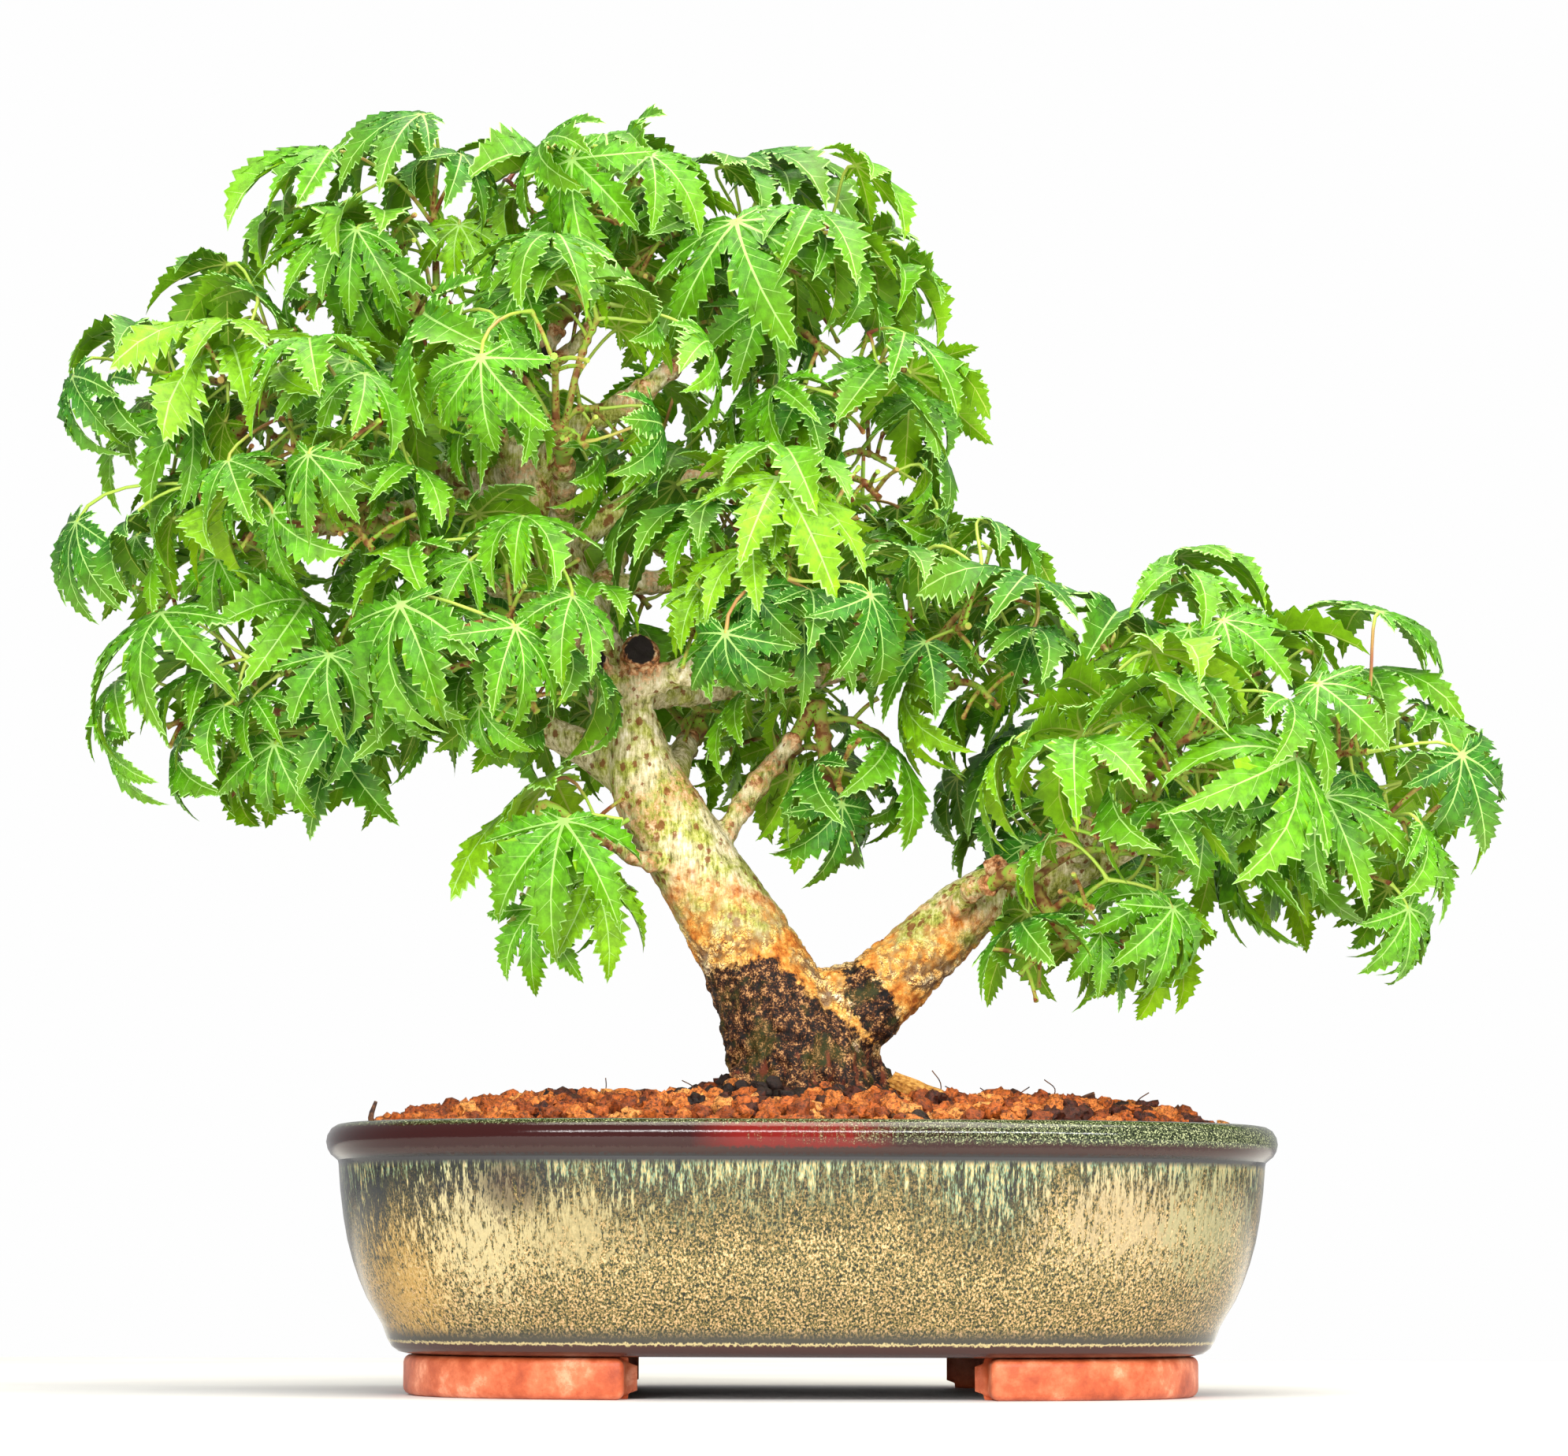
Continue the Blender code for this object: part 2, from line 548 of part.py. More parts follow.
def leaf_frame(name, way, share, length, rng):
    """A matrix for a leaf set out along way until its outermost point stands at share of the space."""
    middle, half = MASSES[name][1:3]
    forward = hanging_way(name, way, rng)
    normal = (Vector((0, 0, 1)) + TILT_OUT * Vector((way.x, way.y, 0))).normalized()
    normal = (normal - forward * normal.dot(forward)).normalized()
    normal = Matrix.Rotation(rng.gauss(0, ROLL_STRAY), 3, forward) @ normal
    turn = Matrix((forward.cross(normal), forward, normal)).transposed().to_4x4()
    outline = [turn @ point for point in leaf_outline(length)]
    reach = share
    for _ in range(4):
        base = Vector([middle[i] + way[i] * half[i] * reach for i in range(3)]) - forward * length * 0.5
        reach -= max(share_out(name, base + point) for point in outline) - share
    return Matrix.Translation(base) @ turn


class Obstacles:
    """Everything that has been grown so far, kept as search trees for touch tests."""

    def __init__(self):
        self.items = []

    def add(self, bm, owner):
        self.add_tree(BVHTree.FromBMesh(bm), *self.ball(bm), owner)

    def add_tree(self, tree, middle, reach, owner):
        self.items.append((tree, middle, reach, owner))

    def touched(self, bm, owner):
        """True if the shape meets anything grown for another owner."""
        tree = BVHTree.FromBMesh(bm)
        middle, reach = self.ball(bm)
        for other, other_middle, other_reach, other_owner in self.items:
            near = (middle - other_middle).length < reach + other_reach
            if other_owner != owner and near and other.overlap(tree):
                return True
        return False

    def ball(self, bm):
        points = [v.co for v in bm.verts]
        middle = sum(points, Vector()) / len(points)
        return middle, max((point - middle).length for point in points)


def mesh_in_mm(mesh):
    bm = bmesh.new()
    bm.from_mesh(mesh)
    bmesh.ops.scale(bm, vec=(1 / MM, 1 / MM, 1 / MM), verts=bm.verts)
    return bm


def add_to_mass(bm, home, finish):
    """Puts a finished bmesh, in millimetres, into the mass's collection as an object in metres."""
    bmesh.ops.scale(bm, vec=(MM, MM, MM), verts=bm.verts)
    mesh = bpy.data.meshes.new("growth")
    bm.to_mesh(mesh)
    bm.free()
    object_from(mesh, "growth", home, finish)


def leaf_on_node(frame, length, nodes, grown, obstacles, name):
    """A leaf hung from the nearest node that lets its stalk pass the mass's other leaves, with that node."""
    reach = {node[:]: (node - frame.translation).length for node in nodes}
    for node in sorted(nodes, key=lambda node: reach[node[:]])[:NODES_TRIED]:
        if reach[node[:]] > MOST_STALK:
            break
        if (frame.inverted() @ node).y > -NODE_BEHIND * length:
            continue
        leaf = leaf_bmesh(length, frame, node)
        tree = BVHTree.FromBMesh(leaf)
        if any(tree.overlap(other) for other, _, _ in grown.values()):
            continue
        if obstacles.touched(leaf, name):
            break
        grown[len(grown)] = (tree, *obstacles.ball(leaf))
        return leaf, node
    return None, None


def grow_mass(name, obstacles, section, home, finish, leaf_finish):
    """One mass: a stem from its limb's tip, twigs from the stem, and a stalked leaf for each place."""
    limb, middle, half, leaves = MASSES[name]
    middle, half = Vector(middle), Vector(half)
    rng = random.Random(name)
    samples = along(LIMBS[limb][1])
    (before, _), (tip, radius) = samples[-2:]
    onward = (tip - before).normalized()
    start = tip + onward * GAP
    heart = middle - Vector((0, 0, HEART_BELOW * half.z))
    bend = start + onward * (heart - start).length * BEND_AT
    at_bend, at_heart = STEM_TAPER
    stem = [(start, radius), (bend, radius * at_bend), (heart, max(radius * at_heart, STEM_LEAST))]
    mass = object_from(tube_mesh(stem, 0), name, home, leaf_finish)
    growth = collection(f"{name}_growth")
    obstacles.add(mesh_in_mm(mass.data), name)

    # Twigs fan out from along the stem to places about half way to the edge of the space.
    nodes = []
    twigs = max(LEAST_TWIGS, round(leaves / LEAVES_PER_TWIG))
    for i, way in enumerate(golden_directions(twigs)):
        foot = bend.lerp(heart, (i + 0.5) / twigs)
        end = middle + Vector([way[k] * half[k] * TWIG_REACH for k in range(3)])
        knee = foot.lerp(end, 0.5) + Vector((0, 0, KNEE_RISE * (end - foot).length))
        shape = mesh_in_mm(tube_mesh([*zip((foot, knee, end), TWIG_RADII)], 0, section))
        if obstacles.touched(shape, name):
            continue
        obstacles.add(shape, name)
        add_to_mass(shape, growth, finish)
        nodes += [knee.lerp(end, share) for share in NODES_AT]

    # Leaves are spread evenly over the space's skin, with some further in, each on the nearest free node.
    outer = round(leaves * (1 - INNER_SHARE))
    places = [(way, 1.0) for way in golden_directions(outer)]
    places += [(way, INNER_AT) for way in golden_directions(leaves - outer)]
    blades, grown = [], {}
    for way, share in places:
        for attempt in range(TRIES_PER_LEAF):
            stray = STRAY + STRAY_MORE * attempt
            aim = (way + Vector([rng.gauss(0, stray) for _ in range(3)])).normalized()
            length = rng.uniform(*LEAF_LENGTH) * (1 - LEAST_LEAF * attempt / TRIES_PER_LEAF)
            frame = leaf_frame(name, aim, share * (1 - DRAWN_IN * attempt), length, rng)
            blade = blade_tree(length, frame)
            if any(blade.overlap(other) for other in blades):
                continue
            if not clear_of_neighbours(name, [frame @ point for point in leaf_outline(length)]):
                continue
            leaf, node = leaf_on_node(frame, length, nodes, grown, obstacles, name)
            if not leaf:
                continue
            add_to_mass(leaf, growth, leaf_finish)
            blades.append(blade)
            nodes.remove(node)
            break
    for shape in grown.values():
        obstacles.add_tree(*shape, name)
    boolean(mass, "UNION", growth)
    keep_outer_shell(mass.data)


def centre_on_box(home):
    """Moves everything so that the middle of the whole box's underside is the origin."""
    corners = [Vector(corner) for thing in home.objects for corner in thing.bound_box]
    lowest = [min(corner[i] for corner in corners) for i in range(3)]
    highest = [max(corner[i] for corner in corners) for i in range(3)]
    shift = Vector((-(lowest[0] + highest[0]) / 2, -(lowest[1] + highest[1]) / 2, -lowest[2]))
    for thing in home.objects:
        thing.data.transform(Matrix.Translation(shift))


def main():
    clear_scene()
    finishes = {name: material(name) for name in COLOURS}
    maple = collection("potted_japanese_maple")
    helpers = collection("helpers")
    make_pot(maple, finishes["glaze"])
    make_feet(maple, finishes["terracotta"])
    make_soil(maple, finishes["akadama"])
    limbs = {"trunk": make_trunk(maple, finishes["bark"])}
    for name in LIMBS:
        limbs[name] = make_limb(name, list(limbs), maple, finishes["bark"])
    obstacles = Obstacles()
    for name, limb in limbs.items():
        obstacles.add(mesh_in_mm(limb.data), name)
    section = triangle_section(helpers)
    for name in MASSES:
        grow_mass(name, obstacles, section, maple, finishes["bark"], finishes["leaf"])
    bpy.data.objects.remove(section)
    bpy.data.collections.remove(helpers)
    centre_on_box(maple)


main()
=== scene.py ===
"""A Japanese maple grown as a bonsai, in a glazed pot filled with fired clay granules.

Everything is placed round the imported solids, in metres with +Z up. Sizes below are in millimetres from the
middle of the pot, at table height, and are scaled by MM where a mesh is made.
"""

import json
import math
import random

import bmesh
import bpy
import numpy as np
from mathutils import Matrix, Vector, noise
from mathutils.bvhtree import BVHTree
from mathutils.kdtree import KDTree

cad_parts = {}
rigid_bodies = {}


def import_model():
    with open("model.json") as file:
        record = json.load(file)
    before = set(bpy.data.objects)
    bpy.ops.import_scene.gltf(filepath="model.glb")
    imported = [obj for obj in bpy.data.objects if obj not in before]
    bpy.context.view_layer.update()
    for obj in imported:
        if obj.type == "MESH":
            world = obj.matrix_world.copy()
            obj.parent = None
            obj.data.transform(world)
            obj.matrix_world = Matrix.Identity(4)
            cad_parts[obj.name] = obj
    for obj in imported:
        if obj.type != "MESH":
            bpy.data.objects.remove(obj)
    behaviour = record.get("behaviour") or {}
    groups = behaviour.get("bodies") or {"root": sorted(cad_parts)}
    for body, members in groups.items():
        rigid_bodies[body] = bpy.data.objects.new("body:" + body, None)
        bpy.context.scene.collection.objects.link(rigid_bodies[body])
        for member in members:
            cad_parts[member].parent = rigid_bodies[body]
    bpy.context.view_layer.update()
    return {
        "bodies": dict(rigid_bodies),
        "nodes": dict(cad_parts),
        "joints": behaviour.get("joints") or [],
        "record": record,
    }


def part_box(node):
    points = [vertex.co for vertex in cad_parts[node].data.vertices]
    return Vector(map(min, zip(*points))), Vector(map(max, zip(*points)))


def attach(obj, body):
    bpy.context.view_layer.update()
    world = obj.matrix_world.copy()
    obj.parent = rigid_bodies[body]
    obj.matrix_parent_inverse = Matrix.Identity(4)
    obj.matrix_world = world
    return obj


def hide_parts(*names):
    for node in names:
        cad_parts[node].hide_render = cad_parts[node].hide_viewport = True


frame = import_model()

# ------------------------------------------------------------------ studio
# A light tent: white cloth on all sides, one broad lamp over the tree, one in front from the left, and a matt
# white table top. The lens stands low, a little over the table.

MM = 0.001
IMAGE_WIDTH = 1990
FOCAL_LENGTH_PIXELS = 6165
POT_AT_PIXEL = 1017
SENSOR = 36
LENS_AWAY = 1300
LENS_HEIGHT = 34
TURNED, TILTED, ROLLED = math.radians(1.5), math.radians(6.3), math.radians(0.2)
TENT_LIGHT, TENT_MIRRORED = 0.56, 0.5
TABLE, TABLE_BACK = 720, 460  # half its width, and how far it runs on behind the pot
LAMPS = {  # name: (place, (width, height), watts, colour, seen in reflections)
    "lamp_over": ((120, -60, 1150), (900, 800), 15, "#FFFAEA", True),
    "lamp_front": ((-420, -1260, 300), (520, 520), 12.5, "#FFFFFC", False),
    "lamp_right": ((1000, -600, 450), (420, 420), 7, "#FFFCF4", False),
    "lamp_strip": ((120, -1100, 700), (1500, 90), 15, "#FFFFFF", True),
}

pot_low, pot_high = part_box("pot")
POT_MIDDLE = Vector(((pot_low.x + pot_high.x) / 2, (pot_low.y + pot_high.y) / 2, 0))
scene = bpy.context.scene


def linear(colour):
    """The linear RGBA of an sRGB hex colour."""
    parts = [int(colour[i : i + 2], 16) / 255 for i in (1, 3, 5)]
    return (*[c / 12.92 if c <= 0.04045 else ((c + 0.055) / 1.055) ** 2.4 for c in parts], 1.0)


def node(tree, kind, inputs=None, stops=None, **settings):
    """Adds a shader node. An input is a value or the socket it takes, and stops are a ramp's (place, colour)."""
    made = tree.nodes.new(kind)
    for name, value in settings.items():
        setattr(made, name, value)
    for name, value in (inputs or {}).items():
        if isinstance(value, bpy.types.NodeSocket):
            tree.links.new(value, made.inputs[name])
        else:
            made.inputs[name].default_value = value
    for i, (place, colour) in enumerate(stops or ()):
        elements = made.color_ramp.elements
        stop = elements[i] if i < 2 else elements.new(place)
        stop.position = place
        stop.color = linear(colour) if isinstance(colour, str) else (colour, colour, colour, 1)
    return made


def material(name, **inputs):
    """A new Principled material, its node tree and its shader."""
    made = bpy.data.materials.new(name)
    made.use_nodes = True
    tree = made.node_tree
    shader = tree.nodes["Principled BSDF"]
    for socket, value in inputs.items():
        value = linear(value) if isinstance(value, str) else value
        shader.inputs[socket.replace("_", " ").title().replace("Ior", "IOR")].default_value = value
    return made, tree, shader


def in_mm(tree):
    """Object coordinates in millimetres from the middle of the pot."""
    place = node(tree, "ShaderNodeTexCoord").outputs["Object"]
    scaled = {"Vector": place, "Location": -POT_MIDDLE / MM, "Scale": (1 / MM,) * 3}
    return node(tree, "ShaderNodeMapping", scaled).outputs["Vector"]


def piece(name, mesh, *materials):
    """An object for a finished mesh, in the scene."""
    made = bpy.data.objects.new(name, mesh)
    for each in materials:
        mesh.materials.append(each)
    scene.collection.objects.link(made)
    return made


camera = bpy.data.objects.new("camera", bpy.data.cameras.new("camera"))
camera.data.sensor_width = SENSOR
camera.data.lens = FOCAL_LENGTH_PIXELS / IMAGE_WIDTH * SENSOR
camera.data.clip_start = 0.05
lens_right = Vector((math.cos(TURNED), -math.sin(TURNED), 0))
lens_place = Vector((-LENS_AWAY * math.sin(TURNED), -LENS_AWAY * math.cos(TURNED), LENS_HEIGHT))
lens_place -= lens_right * (POT_AT_PIXEL - IMAGE_WIDTH / 2) / FOCAL_LENGTH_PIXELS * LENS_AWAY
aim = Matrix.Rotation(-TURNED, 4, "Z") @ Matrix.Rotation(math.pi / 2 + TILTED, 4, "X")
aim = aim @ Matrix.Rotation(ROLLED, 4, "Z")
camera.matrix_world = Matrix.Translation(POT_MIDDLE + lens_place * MM) @ aim
scene.collection.objects.link(camera)
scene.camera = camera
scene.view_settings.view_transform = "Standard"

tent = bpy.data.worlds.new("tent")
tent.use_nodes = True
tent.node_tree.nodes["Background"].inputs["Color"].default_value = linear("#FEFEFE")
ray = node(tent.node_tree, "ShaderNodeLightPath").outputs
glow = node(tent.node_tree, "ShaderNodeMapRange", {0: ray["Is Glossy Ray"], 3: TENT_LIGHT, 4: TENT_MIRRORED}).outputs[0]
glow = node(tent.node_tree, "ShaderNodeMapRange", {0: ray["Is Camera Ray"], 3: glow, 4: 1.0}).outputs[0]
tent.node_tree.links.new(glow, tent.node_tree.nodes["Background"].inputs["Strength"])
scene.world = tent

for name, (place, size, watts, colour, mirrored) in LAMPS.items():
    lamp = bpy.data.objects.new(name, bpy.data.lights.new(name, "AREA"))
    lamp.data.shape = "RECTANGLE"
    lamp.data.size, lamp.data.size_y = size[0] * MM, size[1] * MM
    lamp.data.energy = watts
    lamp.visible_glossy = mirrored
    lamp.data.color = linear(colour)[:3]
    lamp.location = POT_MIDDLE + Vector(place) * MM
    lamp.rotation_euler = (Vector((0, 0, 180)) - Vector(place)).to_track_quat("-Z", "Y").to_euler()
    scene.collection.objects.link(lamp)

bm = bmesh.new()
bmesh.ops.create_grid(bm, x_segments=1, y_segments=1, size=TABLE * MM)
bmesh.ops.translate(bm, verts=bm.verts, vec=(0, (TABLE_BACK - TABLE) * MM, 0))
mesh = bpy.data.meshes.new("table_top")
bm.to_mesh(mesh)
bm.free()
white_laminate, tree, shader = material("matt_white_laminate", roughness=0.6)
grain = node(tree, "ShaderNodeTexNoise", {"Vector": in_mm(tree), "Scale": 0.02, "Detail": 4.0})
shade = node(tree, "ShaderNodeValToRGB", {"Fac": grain.outputs["Fac"]}, ((0.3, "#E6E4E2"), (0.7, "#EEEDEB")))
tree.links.new(shade.outputs["Color"], shader.inputs["Base Color"])
table_top = piece("table_top", mesh, white_laminate)

# ------------------------------------------------------------------ pot
# A slab-built stoneware pot, oval with squared shoulders, with a rolled lip. It was dipped in a reduction
# glaze that broke to oxblood on the lip and ran down the wall in streaks over a speckled olive field.

POT_LENGTH, POT_DEPTH = 250, 190
PLAN_POWER = 3.2  # 2 would be an ellipse; more is squarer
PLAN_STEPS = 180
# (inset from the lip's outer edge, height), up the outside, over the lip and down inside
POT_PROFILE = (
    (27.0, 10.9), (20.8, 10.8), (19.3, 11.2), (17.6, 12.4), (16.9, 13.6), (16.4, 14.4), (15.0, 18.2),
    (13.1, 21.5), (11.0, 25.0), (9.0, 29.6), (7.3, 34.5), (5.8, 40.0), (4.7, 46.0), (3.8, 53.0), (3.4, 58.0),
    (3.3, 59.6), (3.1, 60.6), (2.2, 61.4), (1.2, 62.2), (0.4, 63.6), (0.0, 65.4), (0.3, 67.1), (1.3, 68.8),
    (2.7, 69.7), (4.3, 70.0), (6.2, 69.6), (8.0, 68.5), (9.3, 66.4), (10.2, 63.0), (10.8, 59.0), (12.0, 48.0),
    (15.0, 32.0), (21.0, 22.0), (27.0, 18.5),
)


def plan_point(turn, inset):
    """The pot's plan at a turn seen from its middle, drawn in from the lip's outer edge by inset."""
    across, deep = POT_LENGTH / 2 - inset, POT_DEPTH / 2 - inset
    c, s = math.cos(turn), math.sin(turn)
    reach = (abs(c / across) ** PLAN_POWER + abs(s / deep) ** PLAN_POWER) ** (-1 / PLAN_POWER)
    return reach * c, reach * s


def placed(bm, name, smooth_under=35):
    """Closes a bmesh built in millimetres from the pot's middle into a mesh in the frame, shaded smooth."""
    bmesh.ops.recalc_face_normals(bm, faces=bm.faces)
    bmesh.ops.transform(bm, matrix=Matrix.Translation(POT_MIDDLE) @ Matrix.Scale(MM, 4), verts=bm.verts)
    mesh = bpy.data.meshes.new(name)
    bm.to_mesh(mesh)
    bm.free()
    mesh.shade_smooth()
    mesh.set_sharp_from_angle(angle=math.radians(smooth_under))
    return mesh


bm = bmesh.new()
ring = bmesh.ops.create_circle(bm, segments=PLAN_STEPS, radius=1, cap_ends=True)["verts"]
turns = [math.atan2(vertex.co.y, vertex.co.x) for vertex in ring]
edges = [edge for edge in bm.edges]
floor = list(bm.faces)
for step, (inset, height) in enumerate(POT_PROFILE):
    if step:
        grown = bmesh.ops.extrude_edge_only(bm, edges=edges)["geom"]
        ring = [item for item in grown if isinstance(item, bmesh.types.BMVert)]
        edges = [item for item in grown if isinstance(item, bmesh.types.BMEdge)]
        turns = [math.atan2(vertex.co.y, vertex.co.x) for vertex in ring]
    for vertex, turn in zip(ring, turns):
        vertex.co = (*plan_point(turn, inset), height)
bmesh.ops.contextual_create(bm, geom=edges)
mesh = placed(bm, "pot_wall")

glaze, tree, shader = material("reduction_glaze", roughness=0.12, ior=1.45)
where = in_mm(tree)
axes = node(tree, "ShaderNodeSeparateXYZ", {"Vector": where}).outputs
# Speckles of rutile about a millimetre across, drawn out a little downwards
speckle_place = node(tree, "ShaderNodeMapping", {"Vector": where, "Scale": (1, 1, 0.7)}).outputs["Vector"]
speckle = node(tree, "ShaderNodeTexNoise", {"Vector": speckle_place, "Scale": 1.8, "Detail": 2.0, "Roughness": 0.7})
field_stops = ((0.36, "#15180C"), (0.44, "#3E4020"), (0.5, "#73683A"), (0.57, "#A88856"), (0.66, "#D6B286"))
field = node(tree, "ShaderNodeValToRGB", {"Fac": speckle.outputs["Fac"]}, field_stops).outputs["Color"]
# Runs: streaks a millimetre or two wide and a centimetre or more long
run_place = node(tree, "ShaderNodeMapping", {"Vector": where, "Scale": (1, 1, 0.14)}).outputs["Vector"]
runs = node(tree, "ShaderNodeTexNoise", {"Vector": run_place, "Scale": 0.95, "Detail": 3.0, "Roughness": 0.8})
run_stops = ((0.38, "#0C1218"), (0.44, "#262818"), (0.485, "#504E2A"), (0.52, "#6C8C74"), (0.56, "#97804A"), (0.65, "#D6C490"))
# Just under the lip the streaks are cream, and a little lower blue-black and teal
paler = node(tree, "ShaderNodeMapRange", {0: axes["Z"], 1: 53.0, 2: 58.5, 3: -0.03, 4: 0.02}, clamp=True).outputs[0]
darker = node(tree, "ShaderNodeMapRange", {0: axes["X"], 1: -100.0, 2: -10.0, 3: -0.075, 4: -0.01}, clamp=True).outputs[0]
shifted = node(tree, "ShaderNodeMath", {0: runs.outputs["Fac"], 1: paler}, operation="ADD").outputs[0]
shifted = node(tree, "ShaderNodeMath", {0: shifted, 1: darker}, operation="ADD").outputs[0]
run_colour = node(tree, "ShaderNodeValToRGB", {"Fac": shifted}, run_stops).outputs["Color"]
broad = node(tree, "ShaderNodeTexNoise", {"Vector": run_place, "Scale": 0.07, "Detail": 2.0}).outputs["Fac"]
uneven = node(tree, "ShaderNodeMath", {0: broad, 1: -0.5}, operation="ADD").outputs[0]
ragged = node(tree, "ShaderNodeMath", {0: runs.outputs["Fac"], 1: -0.5}, operation="ADD").outputs[0]
drop = node(tree, "ShaderNodeMath", {0: uneven, 1: 46.0, 2: axes["Z"]}, operation="MULTIPLY_ADD").outputs[0]
drop = node(tree, "ShaderNodeMath", {0: ragged, 1: 34.0, 2: drop}, operation="MULTIPLY_ADD").outputs[0]
leftward = node(tree, "ShaderNodeMapRange", {0: axes["X"], 1: -50.0, 2: -95.0, 3: 0.0, 4: 11.0}, clamp=True).outputs[0]
drop = node(tree, "ShaderNodeMath", {0: drop, 1: leftward}, operation="ADD").outputs[0]
run_share = node(tree, "ShaderNodeMapRange", {0: drop, 1: 47.0, 2: 60.0}, clamp=True).outputs[0]
# The field greys and darkens towards the hem, where the glaze is thin
thin_share = node(tree, "ShaderNodeMapRange", {0: drop, 1: 34.0, 2: 10.0, 3: 0.0, 4: 0.3}, clamp=True).outputs[0]
field = node(tree, "ShaderNodeMix", {0: thin_share, 6: field, 7: linear("#7C7254")}, data_type="RGBA", blend_type="MULTIPLY").outputs[2]
# and is a deeper olive just under the runs
olive_share = node(tree, "ShaderNodeMapRange", {0: drop, 1: 36.0, 2: 48.0, 3: 0.0, 4: 0.75}, clamp=True).outputs[0]
field = node(tree, "ShaderNodeMix", {0: olive_share, 6: field, 7: linear("#8E9468")}, data_type="RGBA", blend_type="MULTIPLY").outputs[2]
colour = node(tree, "ShaderNodeMix", {0: run_share, 6: field, 7: run_colour}, data_type="RGBA").outputs[2]

# Pale patches on the front of the wall. Some are glaze that lay thick and ran pale, honey-coloured at the left.
# Some are painted reflections of the front and right lamps, whose own reflections are turned off, pinkish at the right.
# One spot stayed red.
PALE_GLAZE_AND_PAINTED_REFLECTIONS = (  # middle x, half width, middle z, half height, colour
    (-101, 9, 28, 12, "#B89048"), (-82, 11, 41, 11, "#C2B284"), (-60, 12, 42, 7, "#A39468"), (80, 15, 45, 9, "#AE9A74"),
    (101, 8, 44, 10, "#86845E"), (-75, 5, 53, 5, "#260808"),
)
for middle_x, half_x, middle_z, half_z, pale in PALE_GLAZE_AND_PAINTED_REFLECTIONS:
    aside = node(tree, "ShaderNodeMath", {0: axes["X"], 1: -middle_x}, operation="ADD").outputs[0]
    aside = node(tree, "ShaderNodeMath", {0: aside, 1: half_x}, operation="DIVIDE").outputs[0]
    above = node(tree, "ShaderNodeMath", {0: axes["Z"], 1: -middle_z}, operation="ADD").outputs[0]
    above = node(tree, "ShaderNodeMath", {0: above, 1: half_z}, operation="DIVIDE").outputs[0]
    far = node(tree, "ShaderNodeCombineXYZ", {0: aside, 1: above, 2: 0.0}).outputs[0]
    far = node(tree, "ShaderNodeVectorMath", {0: far}, operation="LENGTH").outputs["Value"]
    far = node(tree, "ShaderNodeMath", {0: ragged, 1: -10.0, 2: far}, operation="MULTIPLY_ADD").outputs[0]
    share = node(tree, "ShaderNodeMapRange", {0: far, 1: 1.4, 2: 0.5, 3: 0.0, 4: 0.7}, clamp=True).outputs[0]
    front = node(tree, "ShaderNodeMath", {0: axes["Y"], 1: 0.0}, operation="LESS_THAN").outputs[0]
    share = node(tree, "ShaderNodeMath", {0: share, 1: front}, operation="MULTIPLY").outputs[0]
    colour = node(tree, "ShaderNodeMix", {0: share, 6: colour, 7: linear(pale)}, data_type="RGBA").outputs[2]

# Bands by height: the bare purple-brown hem, its cream line, the grey line and brown band under the lip, which are
# partly painted shade from the lip's overhang, and the lip
wobble = node(tree, "ShaderNodeMath", {0: ragged, 1: 2.4, 2: axes["Z"]}, operation="MULTIPLY_ADD").outputs[0]
lip_break = node(tree, "ShaderNodeTexNoise", {"Vector": where, "Scale": 2.3, "Detail": 2.0, "Roughness": 0.7})
lip_green = node(tree, "ShaderNodeValToRGB", {"Fac": lip_break.outputs["Fac"]},
                 ((0.40, "#0E130A"), (0.5, "#2A331C"), (0.57, "#5A6242"), (0.65, "#B4B88C"))).outputs["Color"]
to_right = node(tree, "ShaderNodeMath", {0: ragged, 1: 160.0, 2: axes["X"]}, operation="MULTIPLY_ADD").outputs[0]
right_share = node(tree, "ShaderNodeMapRange", {0: to_right, 1: -10.0, 2: 60.0}, clamp=True).outputs[0]
upper = node(tree, "ShaderNodeMapRange", {0: wobble, 1: 63.4, 2: 64.6}, clamp=True).outputs[0]
right_share = node(tree, "ShaderNodeMath", {0: right_share, 1: upper}, operation="MULTIPLY").outputs[0]
on_top = node(tree, "ShaderNodeMapRange", {0: wobble, 1: 68.4, 2: 69.4}, clamp=True).outputs[0]
green_share = node(tree, "ShaderNodeMath", {0: on_top, 1: right_share}, operation="MAXIMUM").outputs[0]
# The oxblood is thinnest, and brightest, in the middle of the front
from_middle = node(tree, "ShaderNodeMath", {0: axes["X"], 1: 4.0}, operation="ADD").outputs[0]
from_middle = node(tree, "ShaderNodeMath", {0: from_middle}, operation="ABSOLUTE").outputs[0]
red_share = node(tree, "ShaderNodeMapRange", {0: from_middle, 1: 26.0, 2: 14.0}, clamp=True).outputs[0]
oxblood = node(tree, "ShaderNodeMix", {0: red_share, 6: linear("#280504"), 7: linear("#660E08")}, data_type="RGBA").outputs[2]
lip = node(tree, "ShaderNodeMix", {0: green_share, 6: oxblood, 7: lip_green}, data_type="RGBA").outputs[2]
bands = (  # from height, to height, colour above
    (58.6, 60.0, linear("#2E2E30")), (60.9, 61.6, linear("#35201C")), (62.6, 63.2, lip),
)
for start, end, above in bands:
    share = node(tree, "ShaderNodeMapRange", {0: wobble, 1: start, 2: end}, clamp=True).outputs[0]
    colour = node(tree, "ShaderNodeMix", {0: share, 6: colour, 7: above}, data_type="RGBA").outputs[2]
for start, end, below in ((18.5, 15.2, "#3E3C34"), (14.4, 14.1, "#B8A878"), (13.9, 13.6, "#3E2622")):
    share = node(tree, "ShaderNodeMapRange", {0: wobble, 1: start, 2: end}, clamp=True).outputs[0]
    colour = node(tree, "ShaderNodeMix", {0: share, 6: colour, 7: linear(below)}, data_type="RGBA").outputs[2]
tree.links.new(colour, shader.inputs["Base Color"])
dimple = node(tree, "ShaderNodeBump", {"Height": speckle.outputs["Fac"], "Strength": 0.12, "Distance": 0.0003})
